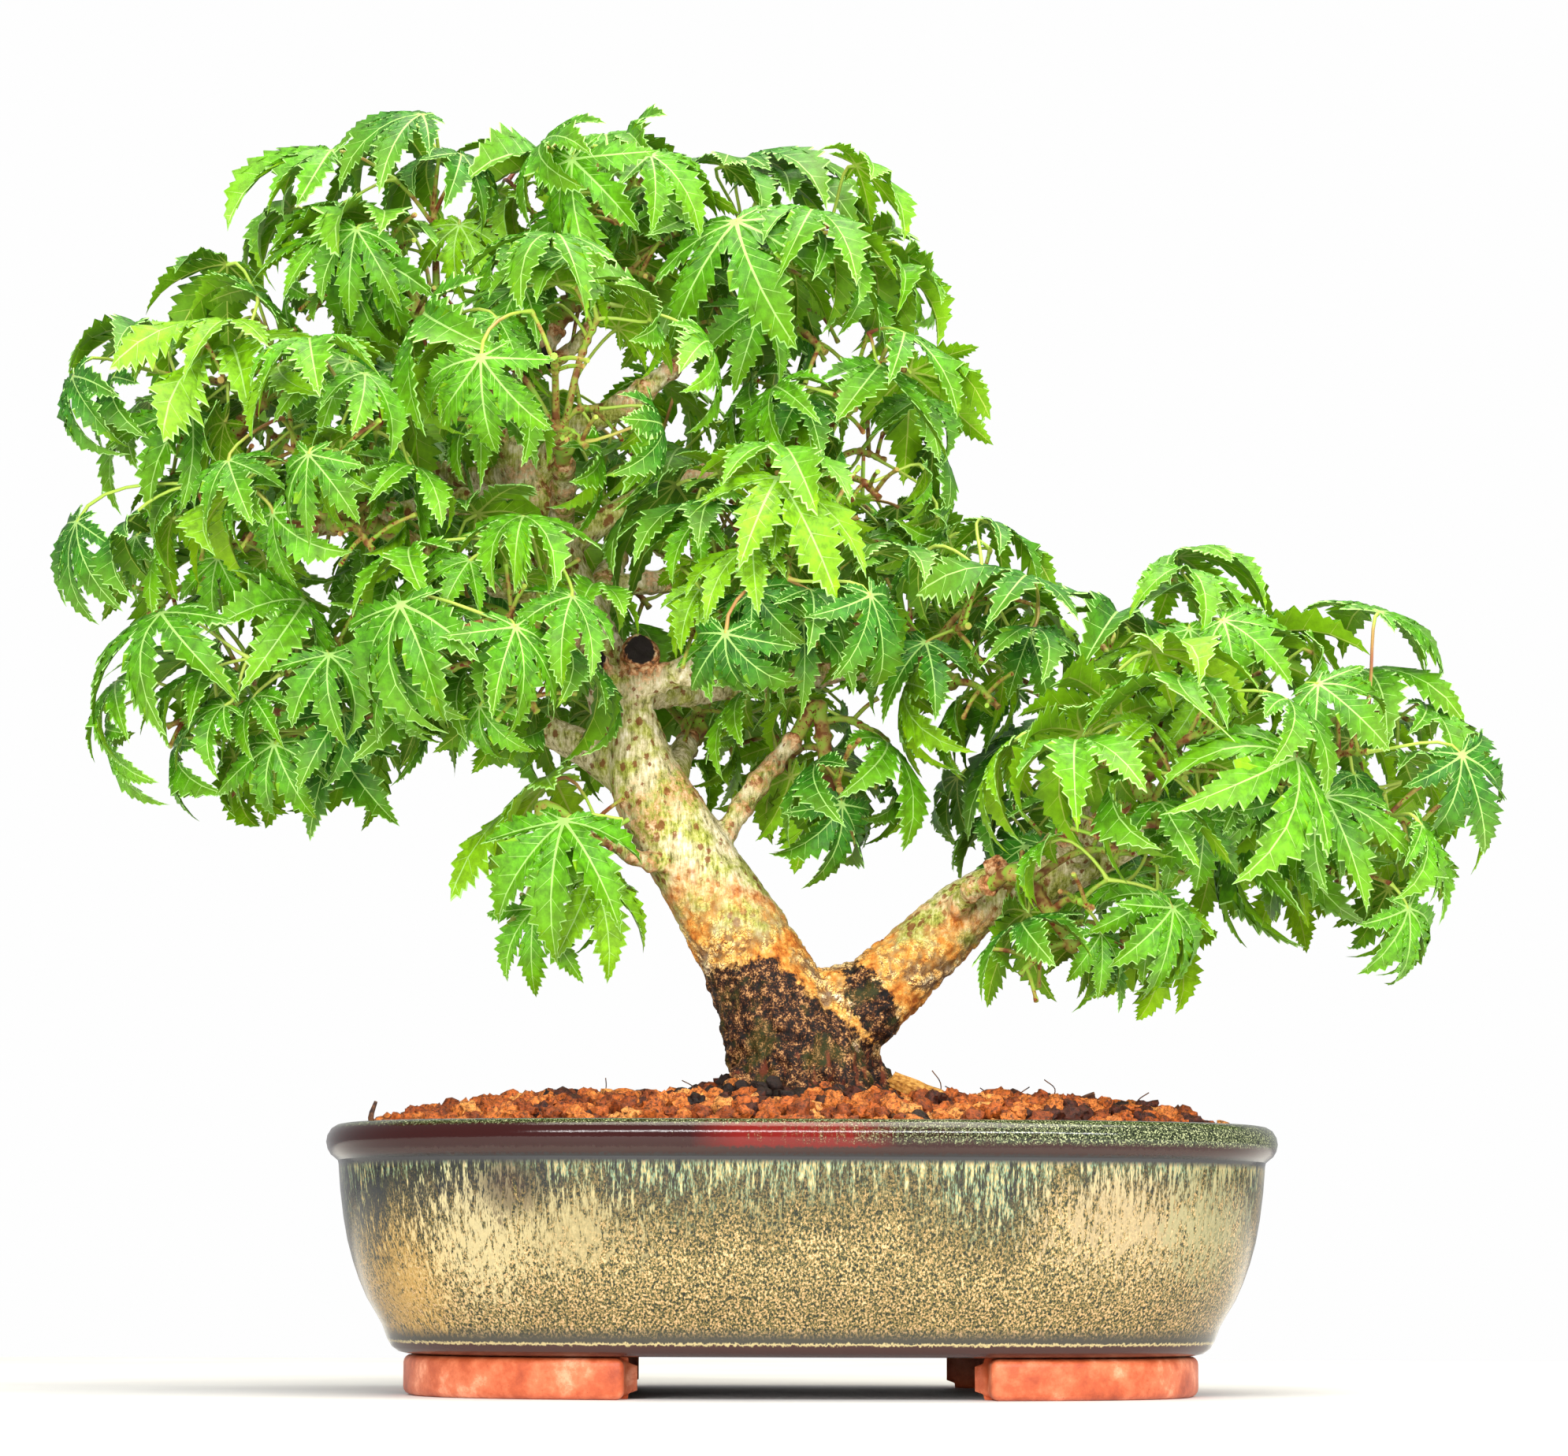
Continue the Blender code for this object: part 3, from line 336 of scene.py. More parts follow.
tree.links.new(dimple.outputs["Normal"], shader.inputs["Normal"])

pot_wall = piece("pot_wall", mesh, glaze)
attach(pot_wall, "root")
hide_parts("pot")

# ------------------------------------------------------------------ feet
# Four pads of the same clay at the corners, left unglazed, so they fired to a bright terracotta with a slight
# polish. Their colour varies in broad random patches, and the palest of them are lightened as a painted highlight.

FOOT_HEIGHT = 10.5
FOOT_INSET, FOOT_WALL = 20.6, 13
FOOT_FROM, FOOT_BACK = 46, 18  # where a foot's ends stand, along the long side and the short side
FOOT_STEPS = 20
FOOT_EDGE = 2.2

terracotta, tree, shader = material("wiped_terracotta", roughness=0.42, ior=1.5)
where = in_mm(tree)
tone_and_painted_highlight = node(tree, "ShaderNodeTexNoise", {"Vector": where, "Scale": 0.06, "Detail": 6.0, "Roughness": 0.7})
# Broad random patches of the clay's tone; the palest stop is a painted highlight
clay = node(tree, "ShaderNodeValToRGB", {"Fac": tone_and_painted_highlight.outputs["Fac"]},
            ((0.3, "#903A20"), (0.44, "#B45430"), (0.54, "#CC6E48"), (0.66, "#F0A480"))).outputs["Color"]
grit = node(tree, "ShaderNodeTexNoise", {"Vector": where, "Scale": 1.6, "Detail": 3.0, "Roughness": 0.8}).outputs["Fac"]
specks = node(tree, "ShaderNodeMapRange", {0: grit, 1: 0.66, 2: 0.74}, clamp=True).outputs[0]
clay = node(tree, "ShaderNodeMix", {0: specks, 6: clay, 7: linear("#5A1E12")}, data_type="RGBA").outputs[2]
tree.links.new(clay, shader.inputs["Base Color"])
tooth = node(tree, "ShaderNodeBump", {"Height": grit, "Strength": 0.25, "Distance": 0.0004})
tree.links.new(tooth.outputs["Normal"], shader.inputs["Normal"])

for side_x, across in ((1, "right"), (-1, "left")):
    for side_y, deep in ((-1, "front"), (1, "back")):
        wide, narrow = POT_LENGTH / 2 - FOOT_INSET, POT_DEPTH / 2 - FOOT_INSET
        start = math.atan2(narrow * (1 - (FOOT_FROM / wide) ** PLAN_POWER) ** (1 / PLAN_POWER), FOOT_FROM)
        end = math.atan2(FOOT_BACK, wide * (1 - (FOOT_BACK / narrow) ** PLAN_POWER) ** (1 / PLAN_POWER))
        turns = [start + (end - start) * i / FOOT_STEPS for i in range(FOOT_STEPS + 1)]
        outline = [plan_point(turn, FOOT_INSET) for turn in turns]
        outline += [plan_point(turn, FOOT_INSET + FOOT_WALL) for turn in reversed(turns)]
        outline[-1] = (FOOT_FROM, outline[-1][1])
        bm = bmesh.new()
        sole = bm.faces.new([bm.verts.new((side_x * x, side_y * y, 0)) for x, y in outline])
        top = bmesh.ops.extrude_face_region(bm, geom=[sole])["geom"]
        top = [item for item in top if isinstance(item, bmesh.types.BMVert)]
        bmesh.ops.translate(bm, verts=top, vec=(0, 0, FOOT_HEIGHT))
        corners = [edge for edge in bm.edges if edge.calc_face_angle(0) > math.radians(50)]
        bmesh.ops.bevel(bm, geom=corners, offset=FOOT_EDGE, segments=4, profile=0.5, affect="EDGES", material=-1)
        foot = piece(f"clay_foot_{deep}_{across}", placed(bm, "clay_foot", 60), terracotta)
        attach(foot, "root")
        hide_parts(f"foot_{deep}_{across}")

# ------------------------------------------------------------------ trunk and boughs
# The living wood: a leaning trunk that forks low, with one leader, a long right-hand bough and the boughs
# that carry the foliage. Old bark flakes in orange plates over the fork; the foot is wet and mossy.

GROUND = 79
TRUNK = (  # (x, y, z, radius) along the centre line
    (2, 0, 74, 19.0), (0, 0, 84, 18.4), (-4, 0, 96, 17.2), (-10, 0, 109, 14.6), (-20, 0, 127, 12.6),
    (-32, 0, 146, 11.6), (-40.5, -1, 160, 10.4), (-44, -2, 172, 7.6), (-45, -3, 181, 5.7),
    (-44.5, -4.5, 190, 5.3), (-43.6, -9, 195.5, 5.1), (-43.2, -12.5, 197, 5.0),
)
LIMBS = {
    "leader": ((-38, 1, 156, 9.2), (-46, 2, 176, 8.2), (-55, 4, 198, 7.4), (-69, 4, 232, 6.0),
               (-84, 2, 262, 4.8), (-93, 0, 279, 3.6)),
    "right_bough": ((2, 0, 92, 12.0), (12, 0, 98, 11.6), (28, 0, 113, 9.9), (47, 1, 130, 8.6),
                    (66, 2, 137, 6.8), (82, 1, 144, 5.2), (100, 0, 154, 3.6), (113, 0, 160, 3.0)),
    "low_left_bough": ((-40, 0, 158, 5.8), (-52, 4, 168, 5.2), (-68, 6, 177, 4.4), (-86, 4, 184, 3.6),
                       (-106, 0, 187, 2.8)),
    "mid_left_bough": ((-62, 4, 215, 4.0), (-76, -5, 214, 3.6), (-92, -12, 219, 3.2), (-108, -16, 226, 2.6)),
    "skirt_bough": ((-72, 4, 240, 3.8), (-92, 10, 240, 3.4), (-114, 10, 236, 2.9), (-134, 6, 232, 2.4)),
    "shoulder_bough": ((-84, 2, 262, 3.6), (-101, 6, 267, 3.2), (-118, 6, 268, 2.8), (-132, 3, 268, 2.3)),
    "apex_bough": ((-82, 2, 258, 3.9), (-75, 4, 274, 3.4), (-67, 5, 288, 2.7)),
    "upper_right_bough": ((-74, 4, 244, 4.0), (-62, 0, 258, 3.6), (-48, -3, 265, 3.1), (-34, -3, 276, 2.4)),
    "right_shoulder_bough": ((-66, 4, 226, 4.2), (-48, 9, 238, 3.6), (-28, 10, 247, 3.0), (-12, 8, 251, 2.4)),
    "front_bough": ((-66, 4, 226, 3.8), (-64, -14, 238, 3.2), (-64, -30, 246, 2.5)),
    "front_low_bough": ((-52, 3, 192, 3.8), (-60, -16, 197, 3.2), (-66, -32, 201, 2.4)),
    "middle_bough": ((-45, -3.5, 188, 3.8), (-34, -8, 191, 3.6), (-20, -12, 194, 3.1), (-8, -13, 197, 2.5)),
    "bridge_bough": ((-50, 3, 186, 4.0), (-28, 14, 189, 3.4), (-2, 17, 193, 2.9), (24, 12, 196, 2.3)),
    "small_branch": ((-26, 1, 139, 3.2), (-18, 3, 153, 2.9), (-9, 4, 166, 2.7), (-1, 4, 176, 2.3)),
    "spur": ((-30, -4, 140, 2.8), (-44, -11, 141, 2.1), (-53, -13, 147, 1.9), (-60, -14, 150, 1.6)),
    "back_bough": ((-58, 4, 205, 4.6), (-54, 22, 218, 3.9), (-50, 38, 230, 3.0)),
    "back_left_bough": ((-76, 3, 247, 4.0), (-90, 20, 249, 3.4), (-104, 34, 252, 2.6)),
    "back_right_bough": ((-54, 22, 218, 3.2), (-34, 30, 222, 2.9), (-14, 36, 225, 2.4)),
    "back_low_bough": ((-38, 0, 156, 5.0), (-34, 18, 168, 4.0), (-30, 34, 178, 3.0)),
    "right_top_bough": ((66, 2, 137, 4.4), (78, 8, 154, 3.7), (88, 10, 170, 2.8)),
    "right_front_bough": ((72, 2, 139.6, 3.8), (78, -14, 149, 3.3), (84, -27, 156, 2.5)),
    "right_back_bough": ((58, 2, 134.4, 4.2), (68, 18, 146, 3.6), (78, 32, 154, 2.7)),
    "right_low_bough": ((40, 1, 124, 3.8), (44, -13, 132, 2.9), (50, -22, 134, 2.2)),
}
STUBS = (  # short ends of limbs that were pruned, each on its parent's flank
    ((-48, -3, 186, 4.2), (-53.5, -7, 191, 3.8), (-56, -10, 194.5, 3.6)),
    ((-76, 4, 272, 3.6), (-72, -4, 275.5, 3.4), (-69, -9, 277, 3.4)),
    ((-70, -2, 275, 2.6), (-62, -6, 280, 2.2), (-57, -8, 286, 2.0)),
    ((56, 1, 134, 4.2), (53, -7, 138, 3.4), (51, -10, 141, 3.3)),
    ((5, 0, 103, 8.5), (11, -1, 106.6, 7.4), (17, -1, 106.8, 7.0)),
    ((17, -1, 98, 6.5), (20.5, -6, 105, 4.8), (22, -8, 109, 4.2)),
    ((74, 2, 141, 3.8), (71, -7, 147, 3.0), (70, -10, 150, 2.8)),
)
ROOT_COUNT, ROOT_REACH = 7, 27
ROOT_REACHES, ROOT_DEPTH, ROOT_STRAY = (0.85, 1.05), 0.8, 0.25
TOE_HEAD, TOE_KNEE, TOE_TIP = (8, 17, 8.5), (15, 5, 7.0), (-4, 4.0)
KNOB_SPACING = 7.5  # where an old leaf pair stood, a thin limb swells
KNOB_SWELL = 0.38
KNOBBY_UNDER = 4.2
BARK_VOXEL = 0.8
FILLET_ROUNDS = 3


def along(points, steps_per_span=2):
    """Catmull-Rom samples through (x, y, z, radius) points, as (Vector, radius) pairs."""
    rows = [Vector((*p[:3], 0)) + Vector((0, 0, 0, p[3])) for p in points]
    rows = [rows[0] * 2 - rows[1], *rows, rows[-1] * 2 - rows[-2]]
    samples = []
    for i in range(1, len(rows) - 2):
        a, b, c, d = rows[i - 1 : i + 3]
        for step in range(steps_per_span):
            t = step / steps_per_span
            curve = (c - a) * t + (2 * a - 5 * b + 4 * c - d) * t**2 + (3 * b - a - 3 * c + d) * t**3
            samples.append(b + curve / 2)
    samples.append(rows[-2])
    return [(Vector(s[:3]), s[3]) for s in samples]


def tubes(name, paths, round_steps):
    """One mesh in millimetres of closed tapering tubes, one along each path of (place, radius) pairs."""
    data = bpy.data.curves.new(name, "CURVE")
    data.dimensions = "3D"
    data.twist_mode = "MINIMUM"
    data.bevel_depth = 1.0
    data.bevel_resolution = round_steps
    data.use_fill_caps = True
    for path in paths:
        spline = data.splines.new("POLY")
        spline.points.add(len(path) - 1)
        for point, (place, radius) in zip(spline.points, path):
            point.co = (*place, 1.0)
            point.radius = radius
    guide = bpy.data.objects.new(name, data)
    mesh = guide.to_mesh().copy()
    guide.to_mesh_clear()
    bpy.data.objects.remove(guide)
    bm = bmesh.new()
    bm.from_mesh(mesh)
    bpy.data.meshes.remove(mesh)
    bmesh.ops.remove_doubles(bm, verts=bm.verts, dist=1e-3)
    bmesh.ops.recalc_face_normals(bm, faces=bm.faces)
    return bm


rng = random.Random(5)
toes = []
for i in range(ROOT_COUNT):
    angle = 2 * math.pi * i / ROOT_COUNT + rng.uniform(-ROOT_STRAY, ROOT_STRAY)
    out = Vector((math.cos(angle), ROOT_DEPTH * math.sin(angle), 0))
    reach = ROOT_REACH * rng.uniform(*ROOT_REACHES)
    places = (TOE_HEAD, TOE_KNEE, (reach, *TOE_TIP))
    toes.append([(Vector((1, 0, GROUND + height)) + out * far, radius) for far, height, radius in places])

# Rusty places: the knobs of thin limbs, the ends of pruned stubs, and the collars where a limb leaves another
knob_rng = random.Random(3)
rusty = [(Vector(points[-1][:3]), points[-1][3] * 2.4) for points in STUBS]
rusty += [(Vector(TRUNK[-1][:3]), 12.0)]
limb_paths = [along(TRUNK, 5)] + [along(points, 5) for points in STUBS]
for points in LIMBS.values():
    path, walked, next_knob = [], 0.0, knob_rng.uniform(4, KNOB_SPACING)
    rusty.append((Vector(points[0][:3]), points[0][3] * 1.9))
    rusty.append((Vector(points[-1][:3]), points[-1][3] * 2.5))
    samples = along(points, 8)
    for i, (place, radius) in enumerate(samples):
        walked += (place - samples[i - 1][0]).length if i else 0
        if walked > next_knob + 2:
            next_knob += KNOB_SPACING * knob_rng.uniform(0.7, 1.3)
        thin = max(0.0, min(1.0, (KNOBBY_UNDER - radius) / 1.5))
        swell = thin * KNOB_SWELL * math.exp(-(((walked - next_knob) / 1.6) ** 2))
        if swell > KNOB_SWELL * 0.6:
            rusty.append((place, radius + 2.2))
        path.append((place, radius * (1 + swell)))
    limb_paths.append(path)

bm = tubes("limbs", [*limb_paths, *toes], 4)
limb_tree_coarse = tubes("coarse", [along(TRUNK, 2), *[along(points, 2) for points in LIMBS.values()]], 1)
limb_shapes = BVHTree.FromBMesh(limb_tree_coarse)
limb_tree_coarse.free()
mesh = bpy.data.meshes.new("bark")
bm.to_mesh(mesh)
bm.free()
guide = bpy.data.objects.new("bark", mesh)
scene.collection.objects.link(guide)
remesh = guide.modifiers.new("one_skin", "REMESH")
remesh.mode = "VOXEL"
remesh.voxel_size = BARK_VOXEL
skinned = bpy.data.meshes.new_from_object(guide.evaluated_get(bpy.context.evaluated_depsgraph_get()))
bpy.data.objects.remove(guide)
bm = bmesh.new()
bm.from_mesh(skinned)
for _ in range(FILLET_ROUNDS):
    bmesh.ops.smooth_vert(bm, verts=bm.verts, factor=0.5, use_axis_x=True, use_axis_y=True, use_axis_z=True)
bm.normal_update()
rusty_at = KDTree(len(rusty))
for i, (place, _) in enumerate(rusty):
    rusty_at.insert(place, i)
rusty_at.balance()
rust = bm.verts.layers.float.new("rust")
cracks = bm.verts.layers.float.new("crack")
moves = []
for vertex in bm.verts:
    place, out = vertex.co, vertex.normal
    near = [1 - far / rusty[i][1] for _, i, far in rusty_at.find_range(place, 16)]
    vertex[rust] = max([0.0, *near])
    old = max(0.0, min(1.0, (140 - place.z) / 22 - 0.25 * abs(noise.noise(place / 9))))
    height = 0.45 * noise.noise(place / 13) + 0.28 * noise.noise(place / 5)
    near = noise.voronoi(Vector((place.x / 4.4, place.y / 4.4, place.z / 5.6)) + noise.noise_vector(place / 4) * 0.7)[0]
    crack = vertex[cracks] = max(0.0, 1 - (near[1] - near[0]) / 0.24)
    height -= old * (0.6 * crack - 0.5 * noise.noise(place / 2.2) - 0.3)
    near = noise.voronoi(Vector((place.x / 2.6, place.y / 2.6, place.z / 3.4)))[0]
    pit = max(0.0, 1 - near[0] / 0.26)
    height -= (1 - old) * (0.35 * pit - 0.2 * noise.noise(place / 1.7) - 0.25 * noise.noise(place / 3.1))
    top_of_trunk = max(0.0, min(1.0, (place.z - 168) / 16)) if place.x > -54 and place.z < 206 else 0.0
    knotted = max(vertex[rust], 0.8 * top_of_trunk)
    height += knotted * (0.9 * noise.noise(place / 1.6) + 1.1 * noise.noise(place / 3.3))
    foot = max(0.0, min(1.0, (106 - place.z) / 18))
    height += foot * (1.5 * noise.noise(place / 4.1) + 0.8 * noise.noise(place / 1.9))
    moves.append(out * height)
for vertex, move in zip(bm.verts, moves):
    vertex.co += move
mesh = placed(bm, "bark", 70)

bark, tree, shader = material("flaky_maple_bark", roughness=0.82, ior=1.45)
where = in_mm(tree)
axes = node(tree, "ShaderNodeSeparateXYZ", {"Vector": where}).outputs
coarse = node(tree, "ShaderNodeTexNoise", {"Vector": where, "Scale": 0.11, "Detail": 4.0, "Roughness": 0.6}).outputs["Fac"]
medium = node(tree, "ShaderNodeTexNoise", {"Vector": where, "Scale": 0.45, "Detail": 4.0, "Roughness": 0.7}).outputs["Fac"]
fine = node(tree, "ShaderNodeTexNoise", {"Vector": where, "Scale": 1.9, "Detail": 3.0, "Roughness": 0.75}).outputs["Fac"]
# Fine wrinkles run along the wood, which leans to the left
strands_place = node(tree, "ShaderNodeMapping", {"Vector": where, "Rotation": (0, 0.4, 0), "Scale": (1, 1, 0.16)})
strands = node(tree, "ShaderNodeTexNoise", {"Vector": strands_place.outputs["Vector"], "Scale": 1.1, "Detail": 4.0, "Roughness": 0.7})
grain = node(tree, "ShaderNodeMix", {0: 0.6, 2: medium, 3: strands.outputs["Fac"]}).outputs[0]
smooth_bark = node(tree, "ShaderNodeValToRGB", {"Fac": grain},
                   ((0.37, "#6A6440"), (0.44, "#B4A878"), (0.52, "#DDD0A4"), (0.62, "#F6EED6"))).outputs["Color"]
green_bark = node(tree, "ShaderNodeValToRGB", {"Fac": grain},
                  ((0.38, "#565E0C"), (0.45, "#8C962A"), (0.52, "#B6B850"), (0.62, "#DAD892"))).outputs["Color"]
algae = node(tree, "ShaderNodeMapRange", {0: coarse, 1: 0.43, 2: 0.55, 3: 0.0, 4: 0.9}, clamp=True).outputs[0]
bark_colour = node(tree, "ShaderNodeMix", {0: algae, 6: smooth_bark, 7: green_bark}, data_type="RGBA").outputs[2]
# Lenticels and small wounds: rust-brown specks a millimetre or two across
speck_place = node(tree, "ShaderNodeMapping", {"Vector": where, "Scale": (0.34, 0.34, 0.26)}).outputs["Vector"]
specks = node(tree, "ShaderNodeTexVoronoi", {"Vector": speck_place, "Scale": 1.0, "Randomness": 1.0}).outputs
speck_size = node(tree, "ShaderNodeMath", {0: fine, 1: -0.5, 2: specks["Distance"]}, operation="MULTIPLY_ADD").outputs[0]
speck_size = node(tree, "ShaderNodeMath", {0: coarse, 1: -1.0, 2: speck_size}, operation="MULTIPLY_ADD").outputs[0]
speck_share = node(tree, "ShaderNodeMapRange", {0: speck_size, 1: -0.46, 2: -0.52, 3: 0.0, 4: 0.85}, clamp=True).outputs[0]
bark_colour = node(tree, "ShaderNodeMix", {0: speck_share, 6: bark_colour, 7: linear("#7A3E1E")}, data_type="RGBA").outputs[2]
# Rust-brown, cracked skin at knobs, cuts and collars
rust = node(tree, "ShaderNodeAttribute", attribute_name="rust").outputs["Fac"]
rust = node(tree, "ShaderNodeMath", {0: medium, 1: 1.3, 2: rust}, operation="MULTIPLY_ADD").outputs[0]
rust_share = node(tree, "ShaderNodeMapRange", {0: rust, 1: 0.88, 2: 1.08, 3: 0.0, 4: 0.95}, clamp=True).outputs[0]
rust_colour = node(tree, "ShaderNodeValToRGB", {"Fac": medium},
                   ((0.36, "#3A1A0E"), (0.44, "#8A4A26"), (0.52, "#C08050"), (0.6, "#E2B888"), (0.7, "#EBD4AC"))).outputs["Color"]
bark_colour = node(tree, "ShaderNodeMix", {0: rust_share, 6: bark_colour, 7: rust_colour}, data_type="RGBA").outputs[2]
# Orange plates over the fork and up the right-hand bough, with dark cracks between them
flakes = node(tree, "ShaderNodeMix", {0: 0.62, 2: medium, 3: coarse}).outputs[0]
plates = node(tree, "ShaderNodeValToRGB", {"Fac": flakes},
              ((0.38, "#A85414"), (0.44, "#DC8C36"), (0.5, "#F0B55C"), (0.56, "#F6D08C"), (0.63, "#FAE6BE"))).outputs["Color"]
lean = node(tree, "ShaderNodeVectorMath", {0: where, 1: (0.10, 0, 1.0)}, operation="DOT_PRODUCT").outputs["Value"]
lean = node(tree, "ShaderNodeMath", {0: coarse, 1: 60.0, 2: lean}, operation="MULTIPLY_ADD").outputs[0]
plate_share = node(tree, "ShaderNodeMapRange", {0: lean, 1: 164.0, 2: 150.0}, clamp=True).outputs[0]
bark_colour = node(tree, "ShaderNodeMix", {0: plate_share, 6: bark_colour, 7: plates}, data_type="RGBA").outputs[2]
crack = node(tree, "ShaderNodeAttribute", attribute_name="crack").outputs["Fac"]
crack = node(tree, "ShaderNodeMath", {0: medium, 1: 1.2, 2: crack}, operation="MULTIPLY_ADD").outputs[0]
crack_share = node(tree, "ShaderNodeMapRange", {0: crack, 1: 0.86, 2: 1.22, 3: 0.0, 4: 0.85}, clamp=True).outputs[0]
warp = node(tree, "ShaderNodeTexNoise", {"Vector": where, "Scale": 0.3, "Detail": 2.0}).outputs["Color"]
warp = node(tree, "ShaderNodeVectorMath", {0: warp, 1: (4, 4, 4), 2: where}, operation="MULTIPLY_ADD").outputs[0]
plate_place = node(tree, "ShaderNodeMapping", {"Vector": warp, "Rotation": (0, 0.4, 0), "Scale": (0.2, 0.2, 0.24)})
edge_of = node(tree, "ShaderNodeTexVoronoi", {"Vector": plate_place.outputs["Vector"]}, feature="DISTANCE_TO_EDGE")
split_share = node(tree, "ShaderNodeMapRange", {0: edge_of.outputs["Distance"], 1: 0.11, 2: 0.045}, clamp=True).outputs[0]
crack_share = node(tree, "ShaderNodeMath", {0: crack_share, 1: split_share}, operation="MAXIMUM").outputs[0]
broken = node(tree, "ShaderNodeMapRange", {0: coarse, 1: 0.42, 2: 0.56, 3: 0.3, 4: 0.95}, clamp=True).outputs[0]
crack_share = node(tree, "ShaderNodeMath", {0: crack_share, 1: broken}, operation="MULTIPLY").outputs[0]
cracked = node(tree, "ShaderNodeMapRange", {0: plate_share, 3: 0.22, 4: 1.0}).outputs[0]
crack_share = node(tree, "ShaderNodeMath", {0: crack_share, 1: cracked}, operation="MULTIPLY").outputs[0]
bark_colour = node(tree, "ShaderNodeMix", {0: crack_share, 6: bark_colour, 7: linear("#4A1A0A")}, data_type="RGBA").outputs[2]
# The wet foot: brown-black with moss and rust-red roots
crumb = node(tree, "ShaderNodeMath", {0: fine, 1: medium}, operation="ADD").outputs[0]
wet = node(tree, "ShaderNodeValToRGB", {"Fac": node(tree, "ShaderNodeMath", {0: crumb, 1: 0.5}, operation="MULTIPLY").outputs[0]},
           ((0.45, "#030100"), (0.488, "#1E0C05"), (0.514, "#44220F"), (0.546, "#6A4020"), (0.602, "#C8965F"))).outputs["Color"]
# its upper edge is level at the left and slopes down to the right, so that dry bark runs down in a tongue
rightward = node(tree, "ShaderNodeMath", {0: axes["X"], 1: 8.3}, operation="ADD").outputs[0]
rightward = node(tree, "ShaderNodeMath", {0: rightward, 1: 0.0}, operation="MAXIMUM").outputs[0]
stump = node(tree, "ShaderNodeMath", {0: rightward, 1: 0.78, 2: axes["Z"]}, operation="MULTIPLY_ADD").outputs[0]
stump = node(tree, "ShaderNodeMath", {0: coarse, 1: 20.0, 2: stump}, operation="MULTIPLY_ADD").outputs[0]
stump = node(tree, "ShaderNodeMath", {0: medium, 1: 10.0, 2: stump}, operation="MULTIPLY_ADD").outputs[0]
wet_share = node(tree, "ShaderNodeMapRange", {0: stump, 1: 128.5, 2: 126.5}, clamp=True).outputs[0]
fork = node(tree, "ShaderNodeVectorMath", {0: where, 1: (19.5, -8.0, 101.5)}, operation="SUBTRACT").outputs[0]
slanted = node(tree, "ShaderNodeVectorMath", {0: fork, 1: (0.17, 0, 0.077)}, operation="DOT_PRODUCT").outputs["Value"]
fork = node(tree, "ShaderNodeVectorMath", {0: fork, 1: (0.0, 0.08, 0.085)}, operation="MULTIPLY").outputs[0]
slanted = node(tree, "ShaderNodeCombineXYZ", {0: slanted}).outputs[0]
fork = node(tree, "ShaderNodeVectorMath", {0: fork, 1: slanted}, operation="ADD").outputs[0]
fork = node(tree, "ShaderNodeVectorMath", {0: fork}, operation="LENGTH").outputs["Value"]
fork = node(tree, "ShaderNodeMath", {0: medium, 1: 1.6, 2: fork}, operation="MULTIPLY_ADD").outputs[0]
fork_share = node(tree, "ShaderNodeMapRange", {0: fork, 1: 1.9, 2: 1.75}, clamp=True).outputs[0]
wet_share = node(tree, "ShaderNodeMath", {0: wet_share, 1: fork_share}, operation="MAXIMUM").outputs[0]
deep = node(tree, "ShaderNodeMath", {0: medium, 1: 10.0, 2: axes["Z"]}, operation="MULTIPLY_ADD").outputs[0]
deep = node(tree, "ShaderNodeMapRange", {0: deep, 1: 94.5, 2: 92.0}, clamp=True).outputs[0]
wet_share = node(tree, "ShaderNodeMath", {0: wet_share, 1: deep}, operation="MAXIMUM").outputs[0]
moss = node(tree, "ShaderNodeMapRange", {0: coarse, 1: 0.52, 2: 0.62, 3: 0.0, 4: 0.45}, clamp=True).outputs[0]
wet = node(tree, "ShaderNodeMix", {0: moss, 6: wet, 7: linear("#3E4410")}, data_type="RGBA").outputs[2]
red_place = node(tree, "ShaderNodeMapping", {"Vector": where, "Scale": (1, 1, 0.25)}).outputs["Vector"]
red = node(tree, "ShaderNodeTexNoise", {"Vector": red_place, "Scale": 0.4, "Detail": 3.0}).outputs["Fac"]
low_down = node(tree, "ShaderNodeMapRange", {0: axes["Z"], 1: 96.0, 2: 84.0, 3: -0.12, 4: 0.03}, clamp=True).outputs[0]
red = node(tree, "ShaderNodeMath", {0: red, 1: low_down}, operation="ADD").outputs[0]
red_share = node(tree, "ShaderNodeMapRange", {0: red, 1: 0.56, 2: 0.66, 3: 0.0, 4: 0.7}, clamp=True).outputs[0]
wet = node(tree, "ShaderNodeMix", {0: red_share, 6: wet, 7: linear("#6E3018")}, data_type="RGBA").outputs[2]
bark_colour = node(tree, "ShaderNodeMix", {0: wet_share, 6: bark_colour, 7: wet}, data_type="RGBA").outputs[2]
# Saw cuts where leaders were taken out, gone black
for cut in ((-43.2, -13.5, 197.3), (-56.5, -11.0, 195.5), (-69.0, -10.5, 277.3)):
    from_cut = node(tree, "ShaderNodeVectorMath", {0: where, 1: cut}, operation="DISTANCE").outputs["Value"]
    from_cut = node(tree, "ShaderNodeMath", {0: medium, 1: 2.5, 2: from_cut}, operation="MULTIPLY_ADD").outputs[0]
    cut_share = node(tree, "ShaderNodeMapRange", {0: from_cut, 1: 5.9, 2: 5.4}, clamp=True).outputs[0]
    bark_colour = node(tree, "ShaderNodeMix", {0: cut_share, 6: bark_colour, 7: linear("#1D1410")}, data_type="RGBA").outputs[2]
tree.links.new(bark_colour, shader.inputs["Base Color"])
sheen = node(tree, "ShaderNodeMapRange", {0: wet_share, 3: 0.82, 4: 0.66}).outputs[0]
tree.links.new(sheen, shader.inputs["Roughness"])
rough = node(tree, "ShaderNodeBump", {"Height": fine, "Strength": 0.5, "Distance": 0.0006})
tree.links.new(rough.outputs["Normal"], shader.inputs["Normal"])

